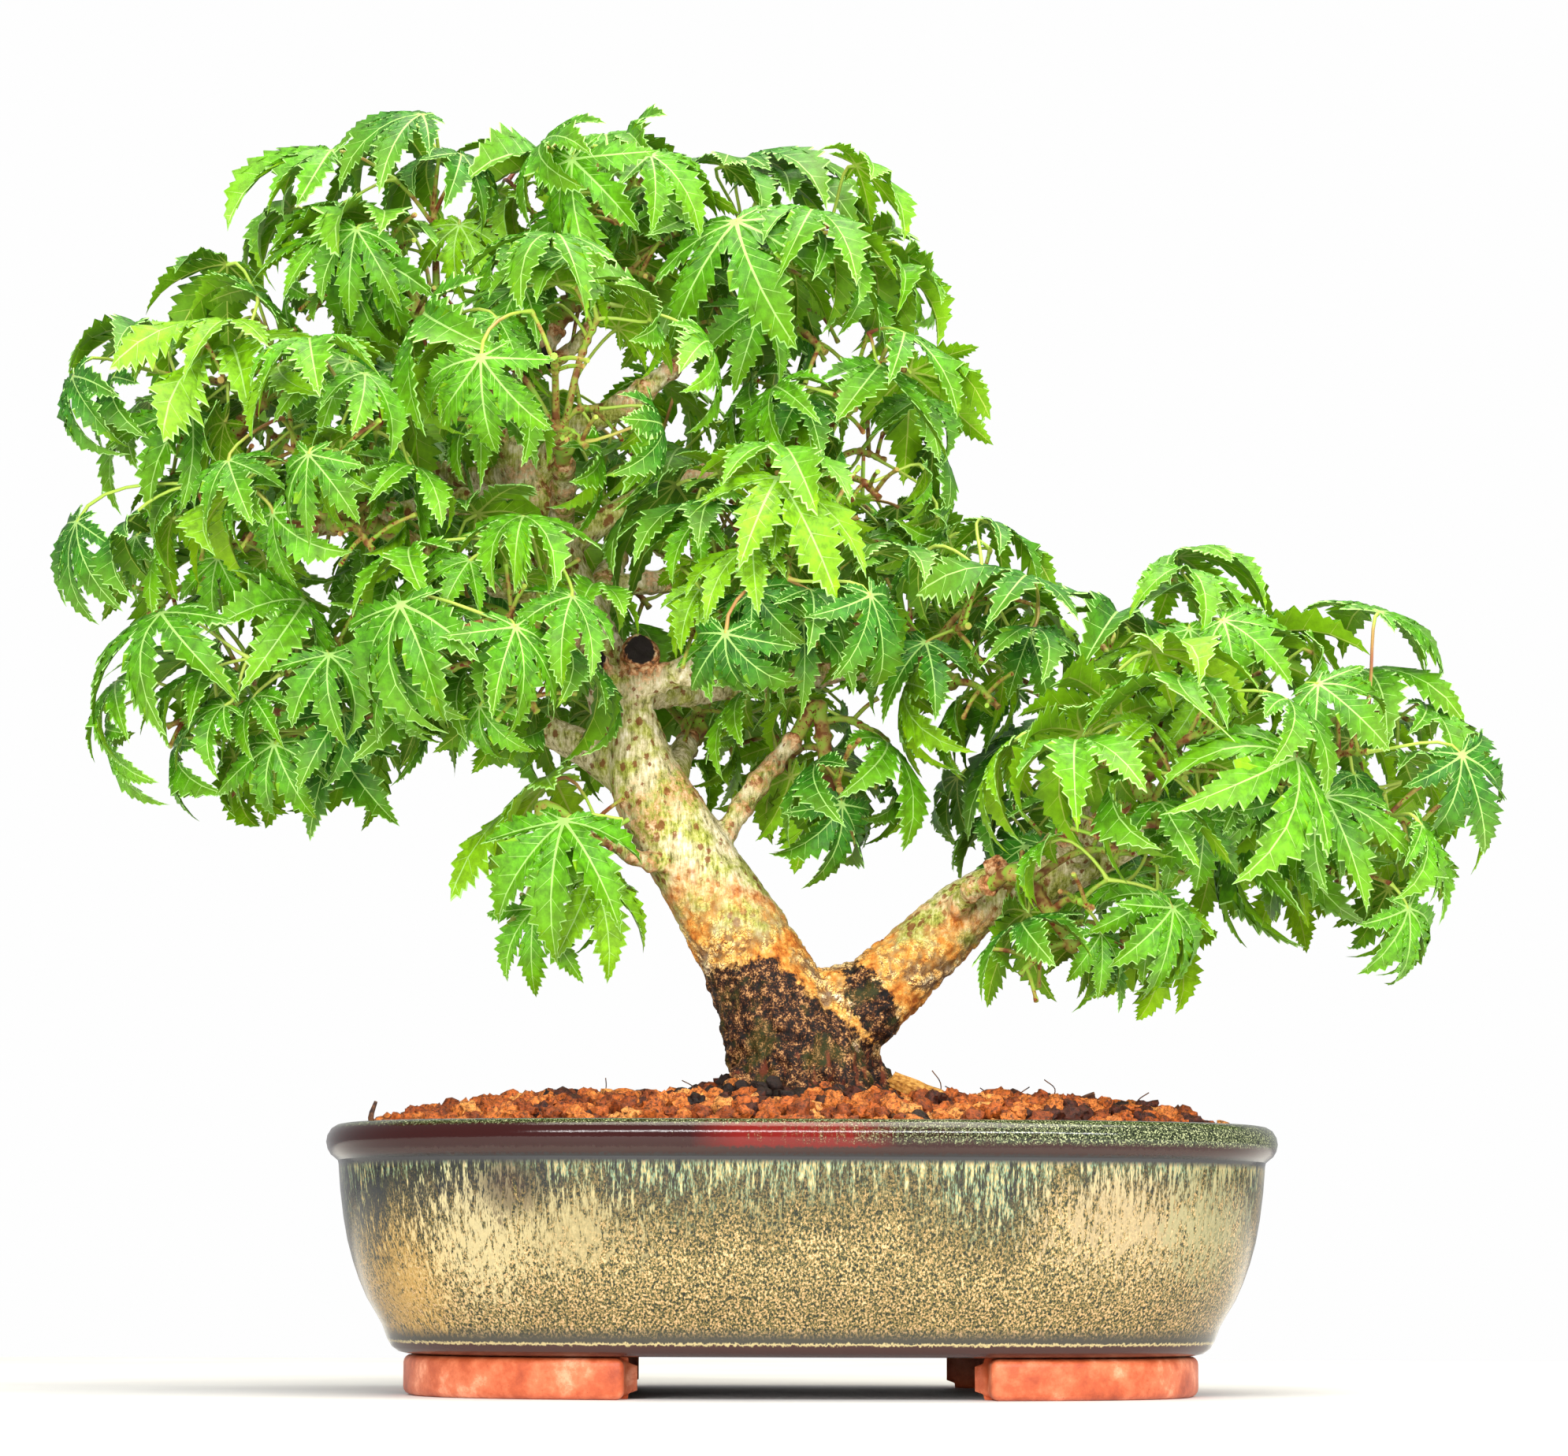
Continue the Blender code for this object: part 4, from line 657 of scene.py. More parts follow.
trunk_and_boughs = piece("trunk_and_boughs", mesh, bark)
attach(trunk_and_boughs, "root")
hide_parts("trunk", *LIMBS)

# ------------------------------------------------------------------ soil
# Fired clay granules, 4 to 7 mm, heaped from the lip up to the trunk: a dark damp bed below, darker still as
# painted shade between the granules, and two layers of loose lumps on it, each crumbled to its own shape.

BED_PROFILE = ((22.0, 22.6), (16.0, 32.0), (13.0, 47.8), (11.7, 59.0), (11.4, 63.0), (16.0, 66.5), (28.0, 69.8),
               (44.0, 72.3), (60.0, 73.6))
GRAIN_TOPS = ((9.8, 68.7), (16.0, 72.0), (28.0, 75.0), (44.0, 77.4), (60.0, 78.7))
GRAIN_SPACING = 5.6
GRAIN_SIZES = (4.2, 8.2)
GRAIN_KINDS = 10
FINE_BEFORE = -38  # granules nearer the front than this are cut finer, for they are seen largest
GRAIN_COLOURS = ("#9C4C16", "#B86628", "#7A360C", "#CC8440", "#401808", "#A09040", "#20100A")
GRAIN_WEIGHTS = (30, 28, 18, 8, 12, 0.3, 3)
HUMUS_WEIGHTS = (10, 4, 12, 1, 20, 0.6, 50)  # close to the trunk, on dark debris
HUMUS_MIDDLE, HUMUS_REACH = (-8, -16), 33
MOUND_MIDDLE, MOUND_REACHES, MOUND_RISE = (-1, -2), (19, 31), 7  # debris banked up round the trunk's foot
MOUND_LUMPS = 110


def grain_top(x, y):
    """The height of the heap's surface at a place inside the pot."""
    last_share, last_height = 2.0, GRAIN_TOPS[0][1]
    for inset, height in GRAIN_TOPS:
        across, deep = POT_LENGTH / 2 - inset, POT_DEPTH / 2 - inset
        share = ((abs(x) / across) ** PLAN_POWER + (abs(y) / deep) ** PLAN_POWER) ** (1 / PLAN_POWER)
        if share > 1:
            part = (1 - last_share) / (share - last_share) if last_share < 1 else 0
            return last_height + (height - last_height) * max(0, min(1, part))
        last_share, last_height = share, height
    return last_height


def in_pot(x, y, inset):
    across, deep = POT_LENGTH / 2 - inset, POT_DEPTH / 2 - inset
    return (abs(x) / across) ** PLAN_POWER + (abs(y) / deep) ** PLAN_POWER < 1


def arrays(bm):
    """A bmesh's triangles as arrays: points, triangles and the finish of each. The bmesh is freed."""
    bmesh.ops.triangulate(bm, faces=bm.faces)
    bm.verts.index_update()
    points = np.array([vertex.co[:] for vertex in bm.verts])
    triangles = np.array([[vertex.index for vertex in face.verts] for face in bm.faces])
    finishes = np.array([face.material_index for face in bm.faces])
    bm.free()
    return points, triangles, finishes


def joined(name, copies, smooth_under):
    """One mesh in the frame from copies, each (points in millimetres, triangles, finishes)."""
    starts = np.cumsum([0] + [len(points) for points, _, _ in copies])
    points = np.concatenate([points for points, _, _ in copies]) * MM + np.array(POT_MIDDLE)
    triangles = np.concatenate([start + triangles for start, (_, triangles, _) in zip(starts, copies)])
    mesh = bpy.data.meshes.new(name)
    mesh.from_pydata(points, [], triangles)
    mesh.shade_smooth()
    mesh.polygons.foreach_set("material_index", np.concatenate([finishes for _, _, finishes in copies]))
    mesh.set_sharp_from_angle(angle=math.radians(smooth_under))
    return mesh


bm = bmesh.new()
ring = bmesh.ops.create_circle(bm, segments=72, radius=1, cap_ends=True)["verts"]
turns = [math.atan2(vertex.co.y, vertex.co.x) for vertex in ring]
edges = list(bm.edges)
for step, (inset, height) in enumerate(BED_PROFILE):
    if step:
        grown = bmesh.ops.extrude_edge_only(bm, edges=edges)["geom"]
        ring = [item for item in grown if isinstance(item, bmesh.types.BMVert)]
        edges = [item for item in grown if isinstance(item, bmesh.types.BMEdge)]
        turns = [math.atan2(vertex.co.y, vertex.co.x) for vertex in ring]
    for vertex, turn in zip(ring, turns):
        vertex.co = (*plan_point(turn, inset), height)
bmesh.ops.contextual_create(bm, geom=edges)
mesh = placed(bm, "soil_bed")

# The bed is damp clay, made near-black as painted shade where it shows between the granules
damp_and_shaded_bed_clay, tree, shader = material("damp_and_painted_shade_clay", roughness=0.95)
crumbs = node(tree, "ShaderNodeTexNoise", {"Vector": in_mm(tree), "Scale": 0.5, "Detail": 4.0}).outputs["Fac"]
crumb_colour = node(tree, "ShaderNodeValToRGB", {"Fac": crumbs}, ((0.35, "#080301"), (0.65, "#1E0C05")))
tree.links.new(crumb_colour.outputs["Color"], shader.inputs["Base Color"])
soil_bed = piece("soil_bed", mesh, damp_and_shaded_bed_clay)
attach(soil_bed, "root")
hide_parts("soil")

rng = random.Random(11)
fine_shapes, grain_shapes = [], []
for kind in range(GRAIN_KINDS):
    stretch = (rng.uniform(0.85, 1.15), rng.uniform(0.75, 1.0), rng.uniform(0.65, 0.9))
    for shapes, subdivisions in ((fine_shapes, 3), (grain_shapes, 2)):
        bm = bmesh.new()
        bmesh.ops.create_icosphere(bm, subdivisions=subdivisions, radius=1)
        away = Vector((kind * 7.3, 0, 0))
        for vertex in bm.verts:
            lump = 0.46 * noise.noise(vertex.co * 1.3 + away) + 0.42 * noise.noise(vertex.co * 3.1 + away)
            vertex.co *= 1 + lump + 0.22 * noise.noise(vertex.co * 6 + away)
        bmesh.ops.scale(bm, vec=stretch, verts=bm.verts)
        shapes.append(arrays(bm))

bark_tree = BVHTree.FromPolygons(
    [(vertex.co - POT_MIDDLE) / MM for vertex in trunk_and_boughs.data.vertices],
    [polygon.vertices[:] for polygon in trunk_and_boughs.data.polygons],
)
layers = {"soil_grains": (0.0, (-1.5, 1.3)), "soil_grains_below": (3.0, (-0.6, 0.6))}
for name, (below, stray) in layers.items():
    grains = []
    rows = int(POT_DEPTH / (GRAIN_SPACING * 0.866))
    for row in range(-rows // 2, rows // 2 + 1):
        for column in range(-26, 27):
            x = (column + 0.5 * (row % 2) + rng.uniform(-0.3, 0.3)) * GRAIN_SPACING
            y = (row + rng.uniform(-0.3, 0.3)) * GRAIN_SPACING * 0.866
            size = rng.triangular(*GRAIN_SIZES, 5.8) / 2
            if not in_pot(x, y, 10.2 + size):
                continue
            z = grain_top(x, y) - size * 0.8 - below + rng.uniform(*stray)
            nearest, out, _, far = bark_tree.find_nearest(Vector((x, y, z)))
            if far > size * 0.9 or (Vector((x, y, z)) - nearest).dot(out) > size * 0.35:
                shapes = fine_shapes if y < FINE_BEFORE and not below else grain_shapes
                points, triangles, _ = shapes[rng.randrange(GRAIN_KINDS)]
                turn = Matrix.Rotation(rng.uniform(0, 6.28), 3, "Z") @ Matrix.Rotation(rng.gauss(0, 0.5), 3, "X")
                points = points @ np.array(turn).T * size + (x, y, z)
                humus = math.hypot(x - HUMUS_MIDDLE[0], y - HUMUS_MIDDLE[1]) < HUMUS_REACH * rng.uniform(0.7, 1)
                tint = rng.choices(range(len(GRAIN_COLOURS)), HUMUS_WEIGHTS if humus else GRAIN_WEIGHTS)[0]
                grains.append((points, triangles, np.full(len(triangles), tint)))
    for _ in range(0 if below else MOUND_LUMPS):
        turn, far = rng.uniform(0, 2 * math.pi), rng.random() ** 0.8
        reach = MOUND_REACHES[0] + (MOUND_REACHES[1] - MOUND_REACHES[0]) * far
        x, y = MOUND_MIDDLE[0] + reach * math.cos(turn), MOUND_MIDDLE[1] + reach * math.sin(turn)
        size = rng.uniform(3.2, 5.6) / 2
        rise = MOUND_RISE * (1 - far) * (1 if x < 0 else 0.5)
        z = grain_top(x, y) - size * 0.8 + rise * rng.uniform(0.6, 1.0)
        points, triangles, _ = grain_shapes[rng.randrange(GRAIN_KINDS)]
        tint = rng.choices(range(len(GRAIN_COLOURS)), HUMUS_WEIGHTS)[0]
        grains.append((points * size + (x, y, z), triangles, np.full(len(triangles), tint)))
    finishes = []
    for i, colour in enumerate(GRAIN_COLOURS):
        grain_clay, tree, shader = material(f"fired_clay_{i}", roughness=0.62)
        where = in_mm(tree)
        dust = node(tree, "ShaderNodeTexNoise", {"Vector": where, "Scale": 0.9, "Detail": 5.0, "Roughness": 0.85})
        # The lower layer takes the same colours at about an eighth of their brightness: damp, and darker still as
        # painted shade under the upper granules
        damp_and_painted_shade = 0.12 if below else 1.0
        dark, pale = [tuple(c * k * damp_and_painted_shade for c in linear(colour)[:3]) + (1,) for k in (0.08, 1.6)]
        spread = node(tree, "ShaderNodeMapRange", {0: dust.outputs["Fac"], 1: 0.38, 2: 0.6}, clamp=True).outputs[0]
        dusted = node(tree, "ShaderNodeMix", {0: spread, 6: dark, 7: pale}, data_type="RGBA").outputs[2]
        tree.links.new(dusted, shader.inputs["Base Color"])
        pores = node(tree, "ShaderNodeBump", {"Height": dust.outputs["Fac"], "Strength": 0.6, "Distance": 0.0006})
        tree.links.new(pores.outputs["Normal"], shader.inputs["Normal"])
        finishes.append(grain_clay)
    made = piece(name, joined(name, grains, 70), *finishes)
    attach(made, "root")

# ------------------------------------------------------------------ litter
# What lies about on the granules: a chip of shed bark, a broken stick on the lip and a few dry root hairs.

CHIP_PLACE, CHIP_SIZE, CHIP_TURN = (29, -31), (6.4, 2.4, 1.1), 0.35
STICKS = (  # (x, y, z, radius) points
    ((-110.5, -46, 67.5, 0.8), (-111.6, -47, 71, 0.75), (-110.4, -46, 75.2, 0.45)),
    ((71, -13, 76.0, 0.35), (74, -14, 78.0, 0.4), (77.5, -14, 79.2, 0.55)),
)
HAIR_FEET = ((-52, -20), (44, -8), (50, -2), (56, 6), (66, -16), (88, -14), (36, -24), (-30, -30), (12, -32), (-64, 12))
HAIR_LENGTHS, HAIR_RADIUS = (3.5, 8), 0.16

rng = random.Random(4)
bm = bmesh.new()
bmesh.ops.create_cube(bm, size=2)
bmesh.ops.subdivide_edges(bm, edges=bm.edges, cuts=5, use_grid_fill=True)
for vertex in bm.verts:
    ragged = 1 + 0.3 * noise.noise(vertex.co * 1.7)
    vertex.co.x *= ragged
    vertex.co.y *= ragged
    vertex.co.z += 0.5 * noise.noise(vertex.co * 1.1 + Vector((5, 0, 0)))
chip_turn = Matrix.Rotation(CHIP_TURN, 4, "Y") @ Matrix.Rotation(-0.35, 4, "Z") @ Matrix.Rotation(0.5, 4, "X")
chip_at = Matrix.Translation((*CHIP_PLACE, grain_top(*CHIP_PLACE) + 1.2))
bmesh.ops.transform(bm, matrix=chip_at @ chip_turn @ Matrix.Diagonal((*CHIP_SIZE, 1)), verts=bm.verts)
shed_bark, tree, shader = material("shed_tan_bark", roughness=0.55)
wood = node(tree, "ShaderNodeTexNoise", {"Vector": in_mm(tree), "Scale": 0.7, "Detail": 4.0}).outputs["Fac"]
wood_colour = node(tree, "ShaderNodeValToRGB", {"Fac": wood}, ((0.35, "#7A4A1C"), (0.5, "#B07A34"), (0.65, "#C99A54")))
tree.links.new(wood_colour.outputs["Color"], shader.inputs["Base Color"])
bark_chip = piece("bark_chip", placed(bm, "bark_chip", 40), shed_bark)
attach(bark_chip, "root")

paths = [along(points, 3) for points in STICKS]
for x, y in HAIR_FEET:
    foot = Vector((x, y, grain_top(x, y) - 1.5))
    rise = Vector((rng.gauss(0, 0.8), rng.gauss(0, 0.4), 1)).normalized() * rng.uniform(*HAIR_LENGTHS)
    bow = Vector((rng.gauss(0, 1.6), rng.gauss(0, 1), 0.5))
    ends = (foot, foot + rise * 0.5 + bow, foot + rise + bow * 0.3)
    paths.append(along([(*end, HAIR_RADIUS) for end in ends], 4))
dry_stem, tree, shader = material("dry_dark_stem", roughness=0.7)
dry = node(tree, "ShaderNodeTexNoise", {"Vector": in_mm(tree), "Scale": 0.6, "Detail": 3.0}).outputs["Fac"]
dry_colour = node(tree, "ShaderNodeValToRGB", {"Fac": dry}, ((0.4, "#2A160C"), (0.6, "#5E3A20")))
tree.links.new(dry_colour.outputs["Color"], shader.inputs["Base Color"])
sticks_and_hairs = piece("sticks_and_hairs", placed(tubes("sticks_and_hairs", paths, 1), "sticks_and_hairs", 60), dry_stem)
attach(sticks_and_hairs, "root")

# ------------------------------------------------------------------ twigs
# This year's and last year's shoots: from each limb's tip a stem runs into its mass of foliage, twigs fan
# out from it, finer shoots leave the twigs at their nodes, and every node bears up to three leaves.

MASSES = {  # name: (limb, middle, half sizes, leaves looked for)
    "apex_leaves": ("apex_bough", (-58, 0, 309), (50, 56, 39), 13),
    "top_left_leaves": ("leader", (-114, 0, 304), (47, 48, 43), 11),
    "top_right_leaves": ("upper_right_bough", (-6, 0, 298), (48, 50, 43), 12),
    "left_shoulder_leaves": ("shoulder_bough", (-157, 0, 262), (44, 50, 46), 10),
    "right_shoulder_leaves": ("right_shoulder_bough", (12, 4, 258), (42, 50, 48), 11),
    "front_leaves": ("front_bough", (-68, -46, 262), (48, 44, 44), 11),
    "front_left_leaves": ("mid_left_bough", (-124, -38, 238), (46, 44, 46), 10),
    "left_skirt_leaves": ("skirt_bough", (-162, 6, 226), (42, 48, 42), 9),
    "front_low_leaves": ("front_low_bough", (-80, -44, 194), (44, 42, 44), 10),
    "middle_leaves": ("middle_bough", (-8, -34, 212), (50, 46, 46), 12),
    "low_left_leaves": ("low_left_bough", (-140, -6, 182), (56, 52, 40), 14),
    "bridge_leaves": ("bridge_bough", (42, 4, 200), (44, 46, 38), 10),
    "small_branch_leaves": ("small_branch", (8, 4, 164), (36, 44, 36), 6),
    "spur_leaves": ("spur", (-66, -16, 134), (34, 30, 38), 5),
    "back_leaves": ("back_bough", (-54, 60, 240), (52, 44, 52), 11),
    "back_left_leaves": ("back_left_bough", (-116, 54, 250), (50, 44, 50), 10),
    "back_right_leaves": ("back_right_bough", (8, 54, 230), (48, 42, 46), 10),
    "back_low_leaves": ("back_low_bough", (-30, 54, 186), (56, 44, 38), 9),
    "right_top_leaves": ("right_top_bough", (102, 6, 190), (54, 50, 40), 13),
    "right_outer_leaves": ("right_bough", (148, 0, 160), (44, 50, 54), 15),
    "right_front_leaves": ("right_front_bough", (94, -42, 158), (50, 44, 42), 9),
    "right_back_leaves": ("right_back_bough", (88, 46, 160), (54, 44, 46), 10),
    "right_low_leaves": ("right_low_bough", (72, -26, 126), (48, 42, 38), 9),
}
HEART_BELOW = 0.25  # where a stem ends below its mass's middle, as a share of the half height
BEND_AT = 0.4
STEM_TAPER, STEM_LEAST = (0.9, 0.7), 1.9
TWIG_RADII = (1.15, 0.9, 0.7)  # foot, knee and tip
TWIG_REACH = 0.52
KNEE_RISE = 0.15
LEAVES_PER_TWIG = 2.2
NODES_AT = (1.0, 0.74, 0.48, 0.22)  # along a twig's outer half
SHOOT_RADII = (0.65, 0.5)
SHOOT_LENGTHS = (9, 17)
TWIG_KNOB = 1.45  # how much a node stands out on its twig


def golden_directions(count):
    """Unit vectors spread evenly over a sphere, from the top down."""
    turn = math.pi * (3 - math.sqrt(5))
    for i in range(count):
        z = 1 - 2 * (i + 0.5) / count
        flat = math.sqrt(1 - z * z)
        yield Vector((flat * math.cos(turn * i), flat * math.sin(turn * i), z))


def knobbed(path, at):
    """A path with short swellings put in where nodes stand."""
    places = [place for place, _ in path]
    walks = [0.0]
    for a, b in zip(places, places[1:]):
        walks.append(walks[-1] + (b - a).length)
    stops = sorted({*walks, *[max(0, min(walks[-1], w + d)) for w in at for d in (-1.3, -0.5, 0, 0.6, 1.5)]})
    made = []
    for stop in stops:
        i = max(k for k in range(len(walks) - 1) if walks[k] <= stop + 1e-9)
        part = (stop - walks[i]) / max(walks[i + 1] - walks[i], 1e-9)
        radius = path[i][1] + (path[i + 1][1] - path[i][1]) * part
        swell = max([0.0] + [(TWIG_KNOB - 1) * math.exp(-(((stop - w) / 0.9) ** 2)) for w in at])
        made.append((places[i].lerp(places[i + 1], part), radius * (1 + swell)))
    return made


twig_paths = []
growing_places = {}  # for each mass its nodes: (place, the twig's way there, spray number)
sprays = 0
for name, (limb, middle, half, leaves) in MASSES.items():
    middle, half = Vector(middle), Vector(half)
    rng = random.Random(name)
    samples = along(LIMBS[limb])
    (before, _), (tip, radius) = samples[-2:]
    onward = (tip - before).normalized()
    start = tip - onward * 1.5
    heart = middle - Vector((0, 0, HEART_BELOW * half.z))
    bend = tip + onward * (heart - tip).length * BEND_AT
    stem = [(start, radius * 0.95), (tip, radius * 0.92), (bend, radius * STEM_TAPER[0])]
    stem.append((heart, max(radius * STEM_TAPER[1] * 0.8, STEM_LEAST)))
    stem = along([(*place, r) for place, r in stem], 4)
    length = (bend - start).length + (heart - bend).length
    twig_paths.append(knobbed(stem, [length * share for share in (0.3, 0.5, 0.7, 0.98)]))
    nodes = []
    twigs = 2 if name == "spur_leaves" else max(4, round(leaves / LEAVES_PER_TWIG) + 1)
    for i, way in enumerate(golden_directions(twigs)):
        foot = bend.lerp(heart, (i + 0.5) / twigs)
        reach = TWIG_REACH * rng.uniform(0.85, 1.1)
        end = middle + Vector([way[k] * half[k] * reach for k in range(3)])
        knee = foot.lerp(end, 0.5) + Vector((0, 0, KNEE_RISE * (end - foot).length))
        twig = along([(*place, r) for place, r in zip((foot, knee, end), TWIG_RADII)], 4)
        length = (knee - foot).length + (end - knee).length
        outer = (end - knee).length
        twig_paths.append(knobbed(twig, [length - outer * (1 - share) for share in NODES_AT]))
        for share in NODES_AT:
            place = along([(*p, 1) for p in (foot, knee, end)], 50)[50 + int(50 * share)][0]
            nodes.append((place, (end - knee).normalized(), sprays))
        for share in NODES_AT[1:]:
            place = along([(*p, 1) for p in (foot, knee, end)], 50)[50 + int(50 * share)][0]
            aside = (end - knee).cross(Vector([rng.gauss(0, 1) for _ in range(3)])).normalized()
            aim = ((end - knee).normalized() * 0.7 + aside + Vector((0, 0, 0.35))).normalized()
            long = rng.uniform(*SHOOT_LENGTHS)
            end_place = place + aim * long
            bow = place.lerp(end_place, 0.5) + Vector((0, 0, 0.06 * long))
            shoot = along([(*p, r) for p, r in zip((place, bow, end_place), (SHOOT_RADII[0], 0.6, SHOOT_RADII[1]))], 3)
            twig_paths.append(knobbed(shoot, [long * 0.97]))
            sprays += 1
            nodes.append((end_place, aim, sprays))
        sprays += 1
    growing_places[name] = nodes

bm = tubes("twigs", twig_paths, 2)
mesh = placed(bm, "twigs", 60)
twig_skin, tree, shader = material("young_maple_shoot", roughness=0.6, ior=1.45)
where = in_mm(tree)
streak = node(tree, "ShaderNodeTexNoise", {"Vector": where, "Scale": 0.22, "Detail": 3.0}).outputs["Fac"]
shoot_colour = node(tree, "ShaderNodeValToRGB", {"Fac": streak},
                    ((0.36, "#7A4A28"), (0.45, "#A08A44"), (0.52, "#93A23C"), (0.64, "#8CB43A"))).outputs["Color"]
buds = node(tree, "ShaderNodeTexNoise", {"Vector": where, "Scale": 0.9, "Detail": 2.0}).outputs["Fac"]
bud_share = node(tree, "ShaderNodeMapRange", {0: buds, 1: 0.6, 2: 0.66}, clamp=True).outputs[0]
shoot_colour = node(tree, "ShaderNodeMix", {0: bud_share, 6: shoot_colour, 7: linear("#7E2F1C")}, data_type="RGBA").outputs[2]
tree.links.new(shoot_colour, shader.inputs["Base Color"])
twigs = piece("twigs", mesh, twig_skin)
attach(twigs, "root")

# ------------------------------------------------------------------ leaves
# Seven-lobed blades of a few centimetres, toothed and veined, each hung from its node on a thin stalk and
# turned out from the crown. They stay clear of the wood, the stalks and each other.

LOBES = ((-124, 0.27), (-83, 0.62), (-42, 0.90), (0, 1.0), (42, 0.90), (83, 0.62), (124, 0.27))
SINUS = 0.22  # the notches' distance from the stalk, as a share of the neighbouring lobes
LOBE_WIDTHS = ((0.0, 0.18, 0.36, 0.52, 0.68, 0.84, 1.0), (0.06, 0.1, 0.138, 0.142, 0.108, 0.054, 0.0))
HUB = 0.036
RIB_WIDTH, VEIN_WIDTH = 0.0065, 0.0026
TOOTH_OUT, TOOTH_IN = 1.2, 0.7
BLADE_THICKNESS = 0.009
MARGIN = 0.0055
PUCKER = 0.008
LEAF_KINDS = 14
TOP, VEIN, UNDER, UNDER_VEIN, EDGE = range(5)


def leaf_shape(rng):
    """A leaf of unit length, lying flat, and the bends that its points are then given."""
    bm = bmesh.new()
    reaches = [share * rng.uniform(0.86, 1.1) for _, share in LOBES]
    angles = [math.radians(angle + rng.gauss(0, 4.5)) for angle, _ in LOBES]
    between = [(a + b) / 2 for a, b in zip(angles, angles[1:])]
    between = [angles[0] - 0.42, *between, angles[-1] + 0.42]
    sinus = [0.07] + [SINUS * (a + b) / 2 * rng.uniform(0.9, 1.1) for a, b in zip(reaches, reaches[1:])] + [0.07]
    hub = [bm.verts.new((HUB * math.sin(turn), HUB * math.cos(turn), 0)) for turn in between]
    notch = [bm.verts.new((far * math.sin(turn), far * math.cos(turn), 0)) for far, turn in zip(sinus, between)]
    outward = {}
    for vertex in notch:
        outward[vertex] = Vector((0, 0, 0))
    faces = {TOP: [], VEIN: [bm.faces.new(hub)]}
    for k, (turn, reach) in enumerate(zip(angles, reaches)):
        ahead = Vector((math.sin(turn), math.cos(turn), 0))
        tip = bm.verts.new(ahead * reach)
        outward[tip] = ahead * 1.6
        teeth = 7 if reach > 0.8 else 5 if reach > 0.5 else 2
        ribs = {}
        for side in (-1, 1):
            across = Vector((ahead.y, -ahead.x, 0)) * side
            corner = notch[k + (side > 0)]
            near_t, near_w = corner.co.dot(ahead), corner.co.dot(across)
            start = hub[k + (side > 0)]

            def margin(u, factor, extra=0.0):
                wide = np.interp(u, *LOBE_WIDTHS) * reach
                wide = max(wide, near_w * (1 - u) ** 3) if u < 0.2 else wide
                place = ahead * (near_t + (reach - near_t) * u) + across * (wide * factor + extra)
                vertex = bm.verts.new(place)
                outward[vertex] = across * 0.9 + ahead * (0.5 if factor > 1 else 0)
                return vertex

            rib = []
            last_tip, valley_before = None, corner
            last_root = start
            t_before = HUB
            between_points = []
            for j in range(teeth):
                u = (j + 0.52 + rng.uniform(-0.06, 0.06)) / teeth
                valley = margin(max(0.02, u - 0.43 / teeth), TOOTH_IN + 0.06 * rng.random()) if j else None
                point = margin(u, TOOTH_OUT + rng.uniform(-0.05, 0.08), 0.007)
                t, wide = point.co.dot(ahead), point.co.dot(across)
                t_root = max(t - wide * 1.15, t_before + 0.035)
                thick = RIB_WIDTH * (1 - t_root / reach) + 0.003
                near = bm.verts.new(ahead * (t_root - VEIN_WIDTH) + across * thick)
                far = bm.verts.new(ahead * (t_root + VEIN_WIDTH) + across * thick)
                ring = [last_root, near, point] + ([valley] if valley else []) + between_points + [valley_before]
                if last_tip:
                    ring = [last_root, near, point, valley, *between_points, last_tip]
                else:
                    ring = [last_root, near, point, corner]
                faces[TOP].append(bm.faces.new(ring))
                faces[VEIN].append(bm.faces.new((near, far, point)))
                rib += [near, far]
                last_root, last_tip, t_before = far, point, t_root
                if j < teeth - 1:
                    dip = margin(u + 0.03 / teeth, TOOTH_IN)
                    small = margin(u + 0.46 / teeth, 1.0, 0.004)
                    between_points = [small, dip]
                else:
                    dip = margin(u + 0.05 / teeth, TOOTH_IN)
                    between_points = [dip]
            faces[TOP].append(bm.faces.new([last_root, tip, *between_points, last_tip]))
            ribs[side] = rib
        left, right = [hub[k], *ribs[-1]], [hub[k + 1], *ribs[1]]
        for a, b, c, d in zip(left, left[1:], right[1:], right):
            faces[VEIN].append(bm.faces.new((a, b, c, d)))
        faces[VEIN].append(bm.faces.new((left[-1], tip, right[-1])))
    for kind, members in faces.items():
        for face in members:
            face.material_index = kind
    bmesh.ops.recalc_face_normals(bm, faces=bm.faces)
    for face in bm.faces:
        if face.normal.z < 0:
            face.normal_flip()
    below = list(bm.faces)
    grown = bmesh.ops.extrude_face_region(bm, geom=below, use_keep_orig=True)["geom"]
    above = [item for item in grown if isinstance(item, bmesh.types.BMFace)]
    raised = [item for item in grown if isinstance(item, bmesh.types.BMVert)]
    bmesh.ops.translate(bm, verts=raised, vec=(0, 0, BLADE_THICKNESS))
    kept = {*below, *above}
    for face in bm.faces:
        if face not in kept:
            face.material_index = EDGE
    for face in below:
        face.material_index += UNDER
    for vertex, way in outward.items():
        vertex.co += way * MARGIN
    panels = [face for face in above if face.material_index == TOP]
    for peak in bmesh.ops.poke(bm, faces=panels)["verts"]:
        peak.co.z += PUCKER
    bmesh.ops.recalc_face_normals(bm, faces=bm.faces)
    points, triangles, finishes = arrays(bm)
    bends = {
        "angles": angles,
        "droop": [rng.uniform(0.7, 2.1) for _ in angles],
        "bend": [rng.gauss(0, 0.22) for _ in angles],
        "twist": [rng.gauss(0, 0.8) for _ in angles],
        "fold": rng.uniform(0.15, 0.75),
        "wave": rng.uniform(0, 6.28),
        "reaches": reaches,
        "sinus": sinus,
        "between": between,
    }
    along_lobe = np.hypot(points[:, 0], points[:, 1])
    return bent(points, bends), triangles, finishes, bends, along_lobe


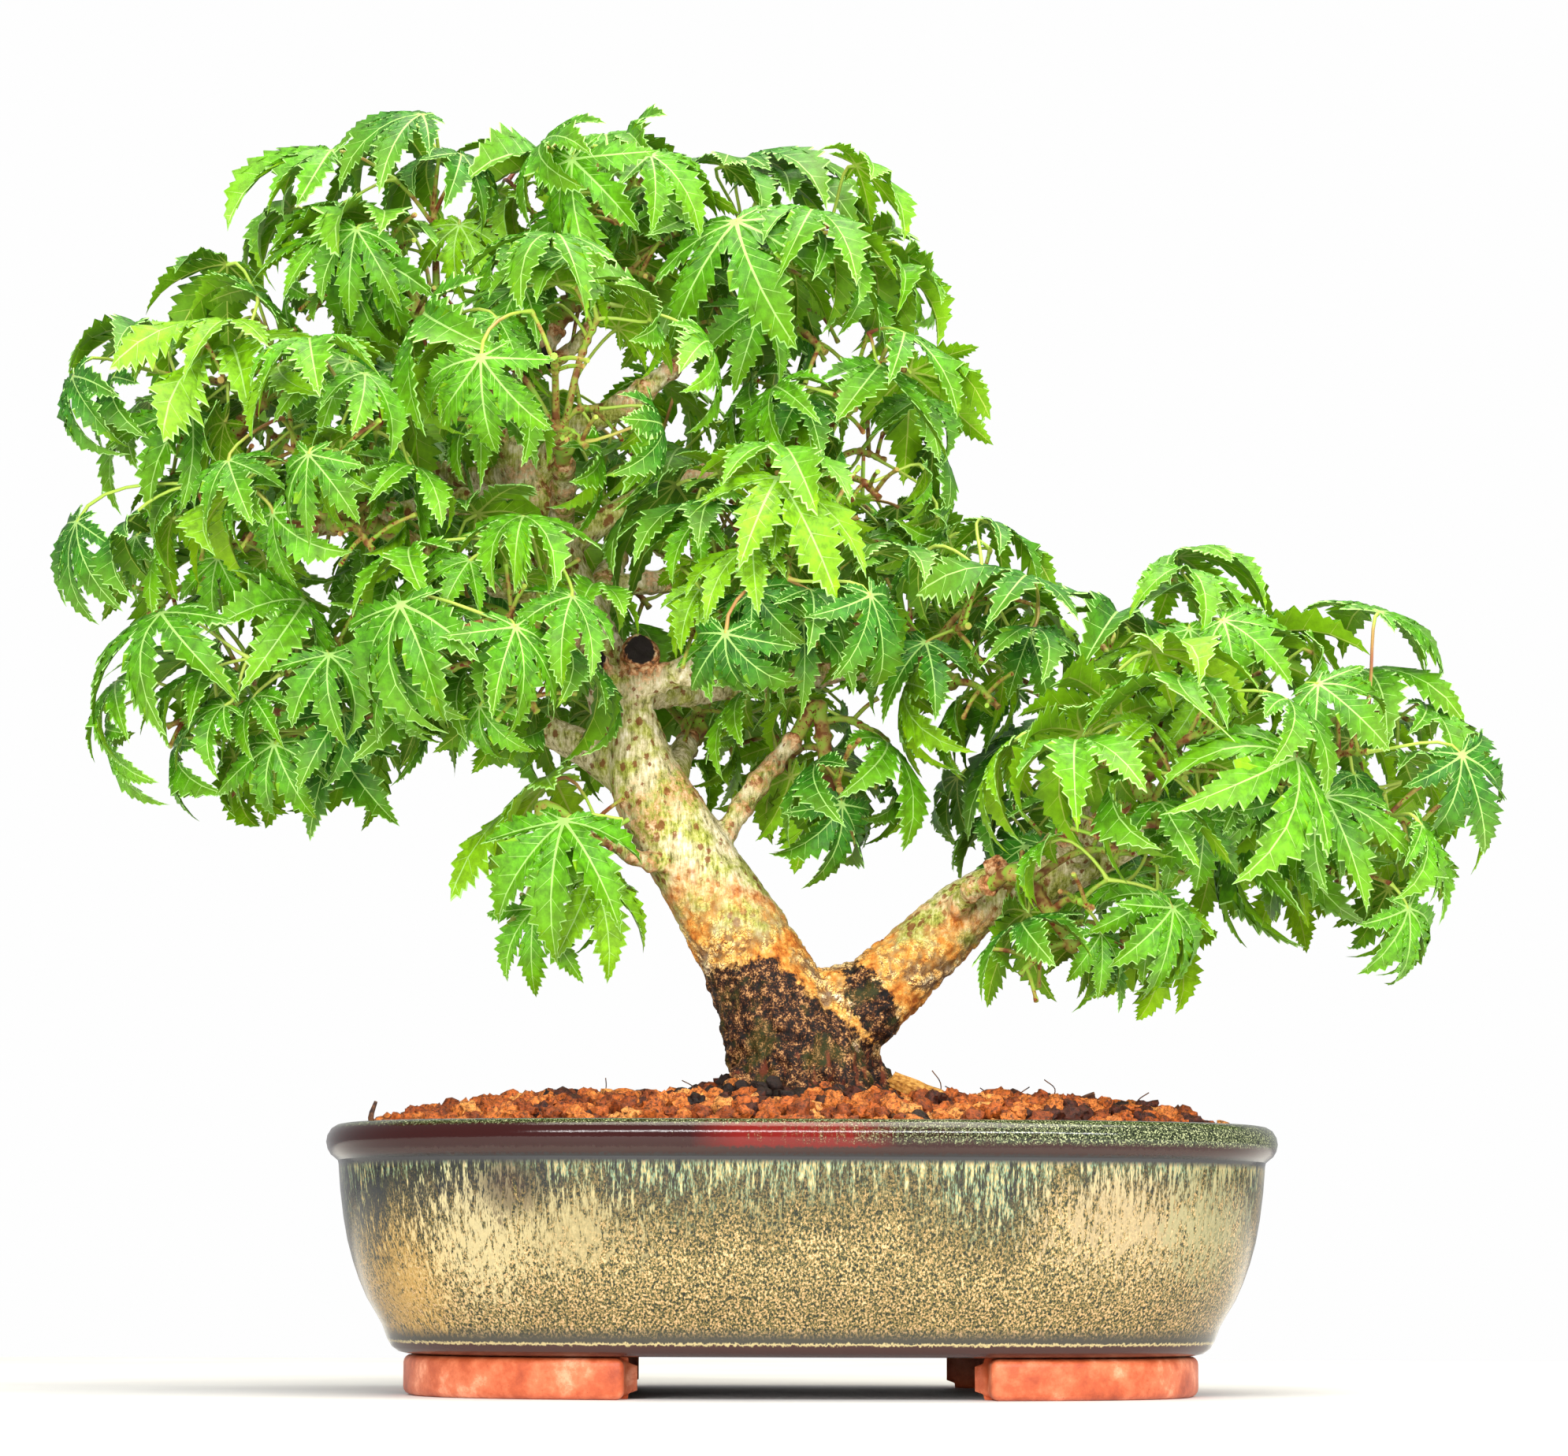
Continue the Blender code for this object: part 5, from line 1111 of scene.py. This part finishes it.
def bent(points, bends):
    """The points of a flat leaf, drooped along its lobes, folded up beside its ribs and waved."""
    x, y, z = points.T
    far, turn = np.hypot(x, y), np.arctan2(x, y)
    angles = np.array(bends["angles"])
    nearest = np.abs(turn[:, None] - angles[None]).argmin(axis=1)
    off = turn - angles[nearest]
    beside = np.abs(np.sin(np.clip(off, -1, 1))) * far
    droop = np.interp(turn, angles, bends["droop"])
    aside = np.interp(turn, angles, bends["bend"])
    turned = turn + aside * far**1.5
    along_arc = np.sin(droop * far) / droop
    sunk = -(1 - np.cos(droop * far)) / droop
    lifted = bends["fold"] * beside + 0.014 * np.sin(13 * turn + bends["wave"]) * far
    lifted += np.array(bends["twist"])[nearest] * np.sin(off) * far * np.clip(far / 0.9 - 0.35, 0, 1)
    z = z + sunk + lifted
    along_arc = along_arc + lifted * np.sin(droop * far) * 0.5
    return np.stack([along_arc * np.sin(turned), along_arc * np.cos(turned), z], axis=1)


def coarse_leaf(bends):
    """The same leaf as a few triangles, for the tests that keep leaves apart."""
    points, faces = [(0.0, 0.0, 0.0)], []
    notches = [(far * math.sin(turn), far * math.cos(turn), 0) for far, turn in zip(bends["sinus"], bends["between"])]
    points += notches
    for k, (turn, reach) in enumerate(zip(bends["angles"], bends["reaches"])):
        ahead, across = Vector((math.sin(turn), math.cos(turn), 0)), Vector((math.cos(turn), -math.sin(turn), 0))
        first = len(points)
        points += [ahead * reach * 0.5, ahead * reach]
        points += [ahead * reach * 0.62 + across * s * reach * 0.14 for s in (-1, 1)]
        left, right = k + 1, k + 2
        middle, tip, side_l, side_r = first, first + 1, first + 2, first + 3
        faces += [(0, left, middle), (left, side_l, middle), (side_l, tip, middle)]
        faces += [(middle, tip, side_r), (middle, side_r, right), (0, middle, right)]
    return bent(np.array([tuple(p) for p in points]), bends), faces


rng = random.Random(21)
leaf_shapes = [leaf_shape(rng) for _ in range(LEAF_KINDS)]
coarse_shapes = [coarse_leaf(shape[3]) for shape in leaf_shapes]

CROWN_AXIS, PAD_AXIS, PAD_FROM_X = Vector((-60, 0, 230)), Vector((84, 0, 150)), 30
CROWN_HALF = (110, 90)
OWN_HEADING, HEADING_STRAY = 0.6, 0.6
FALL, FALL_EASED, FALL_STRAY = 32, 30, 16
TILT_OUT, ROLL_STRAY = 0.35, 0.42
LEAF_LENGTHS = (30, 50)
LEAVES_MORE = 4.6  # leaves for each one in the solids, which are larger and fewer
INNER_SHARES = ((0.5, 1.0), (0.3, 0.8), (0.2, 0.52))  # (share of a mass's leaves, how far out they stand)
TRIES_PER_LEAF = 60
STRAY, STRAY_MORE, DRAWN_IN = 0.08, 0.012, 0.006
LEAST_LEAF = 0.4
CELL_EASE = 0.3
MOST_OUT = 1.06
SHARES = {  # masses with fewer or more leaves than the rest, and their share
    "spur_leaves": 0.8, "front_leaves": 1.6, "front_low_leaves": 1.5, "middle_leaves": 1.3, "front_left_leaves": 1.3,
    "small_branch_leaves": 0.8, "right_low_leaves": 0.8,
}
LEAST_STALK, MOST_STALK = 6, 40
STALK_RADII = (0.75, 0.5, 0.46, 0.5, 0.62)
LEAVES_PER_NODE = 3
LEAF_TINTS = (("#427E08", "#649404"), ("#4E8C0A", "#72A404"), ("#2E6A10", "#548406"), ("#6CA00C", "#86B408"))
TINT_WEIGHTS = (30, 34, 22, 14)
YOUNG_EDGE = "#80AC0C"
CROWN_PARTS = {
    "leaves_crown_top": ("apex_leaves", "top_left_leaves", "top_right_leaves"),
    "leaves_crown_left": ("left_shoulder_leaves", "left_skirt_leaves", "front_left_leaves"),
    "leaves_crown_front": ("front_leaves", "front_low_leaves", "middle_leaves"),
    "leaves_crown_right": ("right_shoulder_leaves", "bridge_leaves", "small_branch_leaves"),
    "leaves_low_left": ("low_left_leaves", "spur_leaves", "back_low_leaves"),
    "leaves_crown_back": ("back_leaves", "back_left_leaves", "back_right_leaves"),
    "leaves_pad_outer": ("right_top_leaves", "right_outer_leaves"),
    "leaves_pad_inner": ("right_front_leaves", "right_back_leaves", "right_low_leaves"),
}
# Openings as the lens sees them: where the crown lets sky through, and where it leaves the wood in sight
# (x, z, radius, how far forward of the pot's middle a leaf must stand to be in its way)
OPENINGS = (
    (-57, 272, 4, None), (-143, 256, 4, None), (-129, 224, 5, None), (-42, 220, 4, None), (20, 246, 6, None),
    (-44, 194, 9, 4), (-37, 172, 8, 4), (-31, 158, 11, 4), (-24, 142, 13, 4), (-16, 128, 14, 4), (-75, 256, 4, 2),
    (-62, 281, 6, 0), (-9, 172, 6, 0), (-60, 268, 7, 0), (30, 117, 10, 4), (44, 127, 7, 4), (66, 133, 3, 0),
)
MIDDLES = np.array([middle for _, middle, _, _ in MASSES.values()], float)
HALVES = np.array([half for _, _, half, _ in MASSES.values()], float)
MASS_NUMBER = {name: i for i, name in enumerate(MASSES)}


def hanging_way(name, way, rng):
    """Where a leaf's middle lobe points: outwards from its crown, hanging more steeply down the sides."""
    middle, half = MASSES[name][1:3]
    axis = PAD_AXIS if middle[0] > PAD_FROM_X else CROWN_AXIS
    place = Vector([middle[i] + way[i] * half[i] for i in range(3)])
    out = Vector(((place.x - axis.x) / CROWN_HALF[0], (place.y - axis.y) / CROWN_HALF[1], 0))
    out += OWN_HEADING * Vector((way.x, way.y, 0))
    out = Matrix.Rotation(rng.gauss(0, HEADING_STRAY), 3, "Z") @ out.normalized()
    fall = math.radians(FALL - FALL_EASED * way.z + rng.gauss(0, FALL_STRAY))
    return (out * math.cos(fall) - Vector((0, 0, math.sin(fall)))).normalized()


def leaf_frame(name, way, share, length, outline, rng):
    """A matrix for a leaf set out along way until its outermost point stands at share of the space."""
    number = MASS_NUMBER[name]
    forward = hanging_way(name, way, rng)
    normal = (Vector((0, 0, 1)) + TILT_OUT * Vector((way.x, way.y, 0))).normalized()
    normal = (normal - forward * normal.dot(forward)).normalized()
    normal = Matrix.Rotation(rng.gauss(0, ROLL_STRAY), 3, forward) @ normal
    turn = Matrix((forward.cross(normal), forward, normal)).transposed()
    spread = outline @ np.array(turn).T * length
    reach = share
    for _ in range(4):
        base = MIDDLES[number] + np.array(way) * HALVES[number] * reach - np.array(forward) * length * 0.5
        reach -= np.linalg.norm((base + spread - MIDDLES[number]) / HALVES[number], axis=1).max() - share
    return Matrix.Translation(base) @ turn.to_4x4(), base + spread


def stalk_path(node_place, shoot_way, frame, length):
    """A leaf stalk's path from its node to the blade: off along the shoot, then in line with the blade."""
    end = frame.translation.copy()
    forward, normal = frame.col[1].to_3d(), frame.col[2].to_3d()
    span = (end - node_place).length
    first = node_place + (shoot_way * 0.5 + (end - node_place).normalized()).normalized() * span * 0.3
    last = end - (forward * 0.85 - normal * 0.15).normalized() * span * 0.32
    path = []
    for i in range(7):
        t = i / 6
        s = 1 - t
        place = node_place * s**3 + first * 3 * s * s * t + last * 3 * s * t * t + end * t**3
        path.append((place, float(np.interp(t, (0, 0.15, 0.5, 0.85, 1), STALK_RADII))))
    return path


coarse_twigs = tubes("coarse_twigs", [path[:: max(1, len(path) // 4)] + [path[-1]] for path in twig_paths], 0)
twig_shapes = BVHTree.FromBMesh(coarse_twigs)
coarse_twigs.free()
grown = []  # (search tree, middle, reach) of every leaf with its stalk
leaves_of, stalk_paths = {name: [] for name in MASSES}, []
for name, (_, _, _, looked_for) in MASSES.items():
    rng = random.Random(name)
    number = MASS_NUMBER[name]
    others = [i for i in range(len(MASSES)) if i != number]
    free = [[place, way, spray, LEAVES_PER_NODE] for place, way, spray in growing_places[name]]
    count = round(looked_for * LEAVES_MORE * SHARES.get(name, 1))
    places = []
    for part, share in INNER_SHARES:
        places += [(way, share) for way in golden_directions(max(2, round(count * part)))]
    for way, share in places:
        kind = rng.randrange(LEAF_KINDS)
        outline, faces = coarse_shapes[kind]
        for attempt in range(TRIES_PER_LEAF):
            stray = STRAY + STRAY_MORE * attempt
            aim = (way + Vector([rng.gauss(0, stray) for _ in range(3)])).normalized()
            length = rng.uniform(*LEAF_LENGTHS) * (1 - LEAST_LEAF * attempt / TRIES_PER_LEAF)
            frame, spread = leaf_frame(name, aim, share * (1 - DRAWN_IN * attempt), length, outline, rng)
            shares = np.linalg.norm((spread[:, None] - MIDDLES[None]) / HALVES[None], axis=2)
            if (shares[:, others].min(axis=1) < shares[:, number] - CELL_EASE).any():
                continue
            if spread[:, 2].min() < GROUND + 4 or shares[:, number].max() > MOST_OUT:
                continue
            seen = spread[:, [0, 2]] * (LENS_AWAY / (LENS_AWAY + spread[:, 1:2]))
            in_way = False
            for x, z, radius, forward in OPENINGS:
                off = np.hypot(seen[:, 0] - x, seen[:, 1] - z)
                hit = off < radius if forward is None else (off < radius) & (spread[:, 1] < forward)
                in_way = in_way or hit.any()
            if in_way:
                continue
            middle, reach = Vector(spread.mean(axis=0)), float(np.ptp(spread, axis=0).max())
            near = [tree for tree, other, far in grown if (other - middle).length < (far + reach) * 0.75]
            blade = BVHTree.FromPolygons(spread.tolist(), faces)
            if any(blade.overlap(other) for other in near):
                continue
            if blade.overlap(twig_shapes) or blade.overlap(limb_shapes):
                continue
            base = frame.translation
            choices = sorted(free, key=lambda item: (item[0] - base).length)[:8]
            hung = None
            for item in choices:
                far = (item[0] - base).length
                if far > MOST_STALK or far < LEAST_STALK or (item[0] - base).dot(frame.col[1].to_3d()) > -0.1 * length:
                    continue
                path = stalk_path(item[0], item[1], frame, length)
                strip = [place + Vector((0, 0, s)) for place, _ in path[1:] for s in (-0.5, 0.5)]
                sides = [(i, i + 1, i + 3, i + 2) for i in range(0, len(strip) - 2, 2)]
                stalk = BVHTree.FromPolygons(strip, sides)
                if any(stalk.overlap(other) for other in near):
                    continue
                hung = item
                break
            if not hung:
                continue
            joint = len(spread)
            both = BVHTree.FromPolygons(
                spread.tolist() + strip[:-2], faces + [tuple(joint + i for i in side) for side in sides[:-1]]
            )
            grown.append((both, middle, reach))
            hung[3] -= 1
            if not hung[3]:
                free.remove(hung)
            leaves_of[name].append((kind, frame, length, hung[2]))
            stalk_paths.append(path)
            break


def blade_finish(name, base, roughness, vary, tip=0.0):
    """A leaf skin: the base colour in small patches, with a faint relief, yellower towards the lobes' tips."""
    made, tree, shader = material(name, roughness=roughness, ior=1.42)
    where = in_mm(tree)
    patch = node(tree, "ShaderNodeTexNoise", {"Vector": where, "Scale": 0.35, "Detail": 4.0, "Roughness": 0.65})
    dark, pale = [tuple(c * k for c in linear(base)[:3]) + (1,) for k in (1 - vary, 1 + vary)]
    spread = node(tree, "ShaderNodeMapRange", {0: patch.outputs["Fac"], 1: 0.36, 2: 0.64}, clamp=True).outputs[0]
    mixed = node(tree, "ShaderNodeMix", {0: spread, 6: dark, 7: pale}, data_type="RGBA").outputs[2]
    along_lobe = node(tree, "ShaderNodeAttribute", attribute_name="along_lobe").outputs["Fac"]
    tip_share = node(tree, "ShaderNodeMapRange", {0: along_lobe, 1: 0.35, 2: 1.0, 3: 0.0, 4: tip}, clamp=True).outputs[0]
    mixed = node(tree, "ShaderNodeMix", {0: tip_share, 6: mixed, 7: linear(YOUNG_EDGE)}, data_type="RGBA").outputs[2]
    tree.links.new(mixed, shader.inputs["Base Color"])
    skin = node(tree, "ShaderNodeTexNoise", {"Vector": where, "Scale": 2.2, "Detail": 2.0}).outputs["Fac"]
    relief = node(tree, "ShaderNodeBump", {"Height": skin, "Strength": 0.25, "Distance": 0.0003})
    tree.links.new(relief.outputs["Normal"], shader.inputs["Normal"])
    return made


finishes = [blade_finish(f"leaf_top_{i}", top, 0.5, 0.4, 0.45) for i, (top, _) in enumerate(LEAF_TINTS)]
finishes += [blade_finish(f"leaf_under_{i}", under, 0.6, 0.2, 0.3) for i, (_, under) in enumerate(LEAF_TINTS)]
finishes.append(blade_finish("leaf_vein", "#9CC468", 0.45, 0.1))
finishes.append(blade_finish("leaf_vein_under", "#A8BC50", 0.5, 0.1))
finishes.append(blade_finish("leaf_margin", "#9CCB70", 0.45, 0.1))
tint_rng = random.Random(8)
spray_tints = {}
for part, names in CROWN_PARTS.items():
    copies, reached = [], []
    for name in names:
        for kind, frame, length, spray in leaves_of[name]:
            tint = spray_tints.setdefault(spray, tint_rng.choices(range(len(LEAF_TINTS)), TINT_WEIGHTS)[0])
            points, triangles, kinds, _, along_lobe = leaf_shapes[kind]
            reached.append(along_lobe)
            turn, base = np.array(frame.to_3x3()), np.array(frame.translation)
            dealt = np.array([tint, 8, 4 + tint, 9, 10])[kinds]
            copies.append((points * length @ turn.T + base, triangles, dealt))
    mesh = joined(part, copies, 50)
    mesh.attributes.new("along_lobe", "FLOAT", "POINT").data.foreach_set("value", np.concatenate(reached))
    leaves = piece(part, mesh, *finishes)
    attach(leaves, "root")
    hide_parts(*names)

mesh = placed(tubes("leaf_stalks", stalk_paths, 1), "leaf_stalks", 70)
stalk_skin, tree, shader = material("pale_leaf_stalk", roughness=0.4, ior=1.42)
flush = node(tree, "ShaderNodeTexNoise", {"Vector": in_mm(tree), "Scale": 0.03, "Detail": 2.0}).outputs["Fac"]
stalk_colour = node(tree, "ShaderNodeValToRGB", {"Fac": flush},
                    ((0.35, "#B7C95A"), (0.55, "#9FBE45"), (0.62, "#A98A4C"), (0.7, "#8C4A38")))
tree.links.new(stalk_colour.outputs["Color"], shader.inputs["Base Color"])
leaf_stalks = piece("leaf_stalks", mesh, stalk_skin)
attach(leaf_stalks, "root")
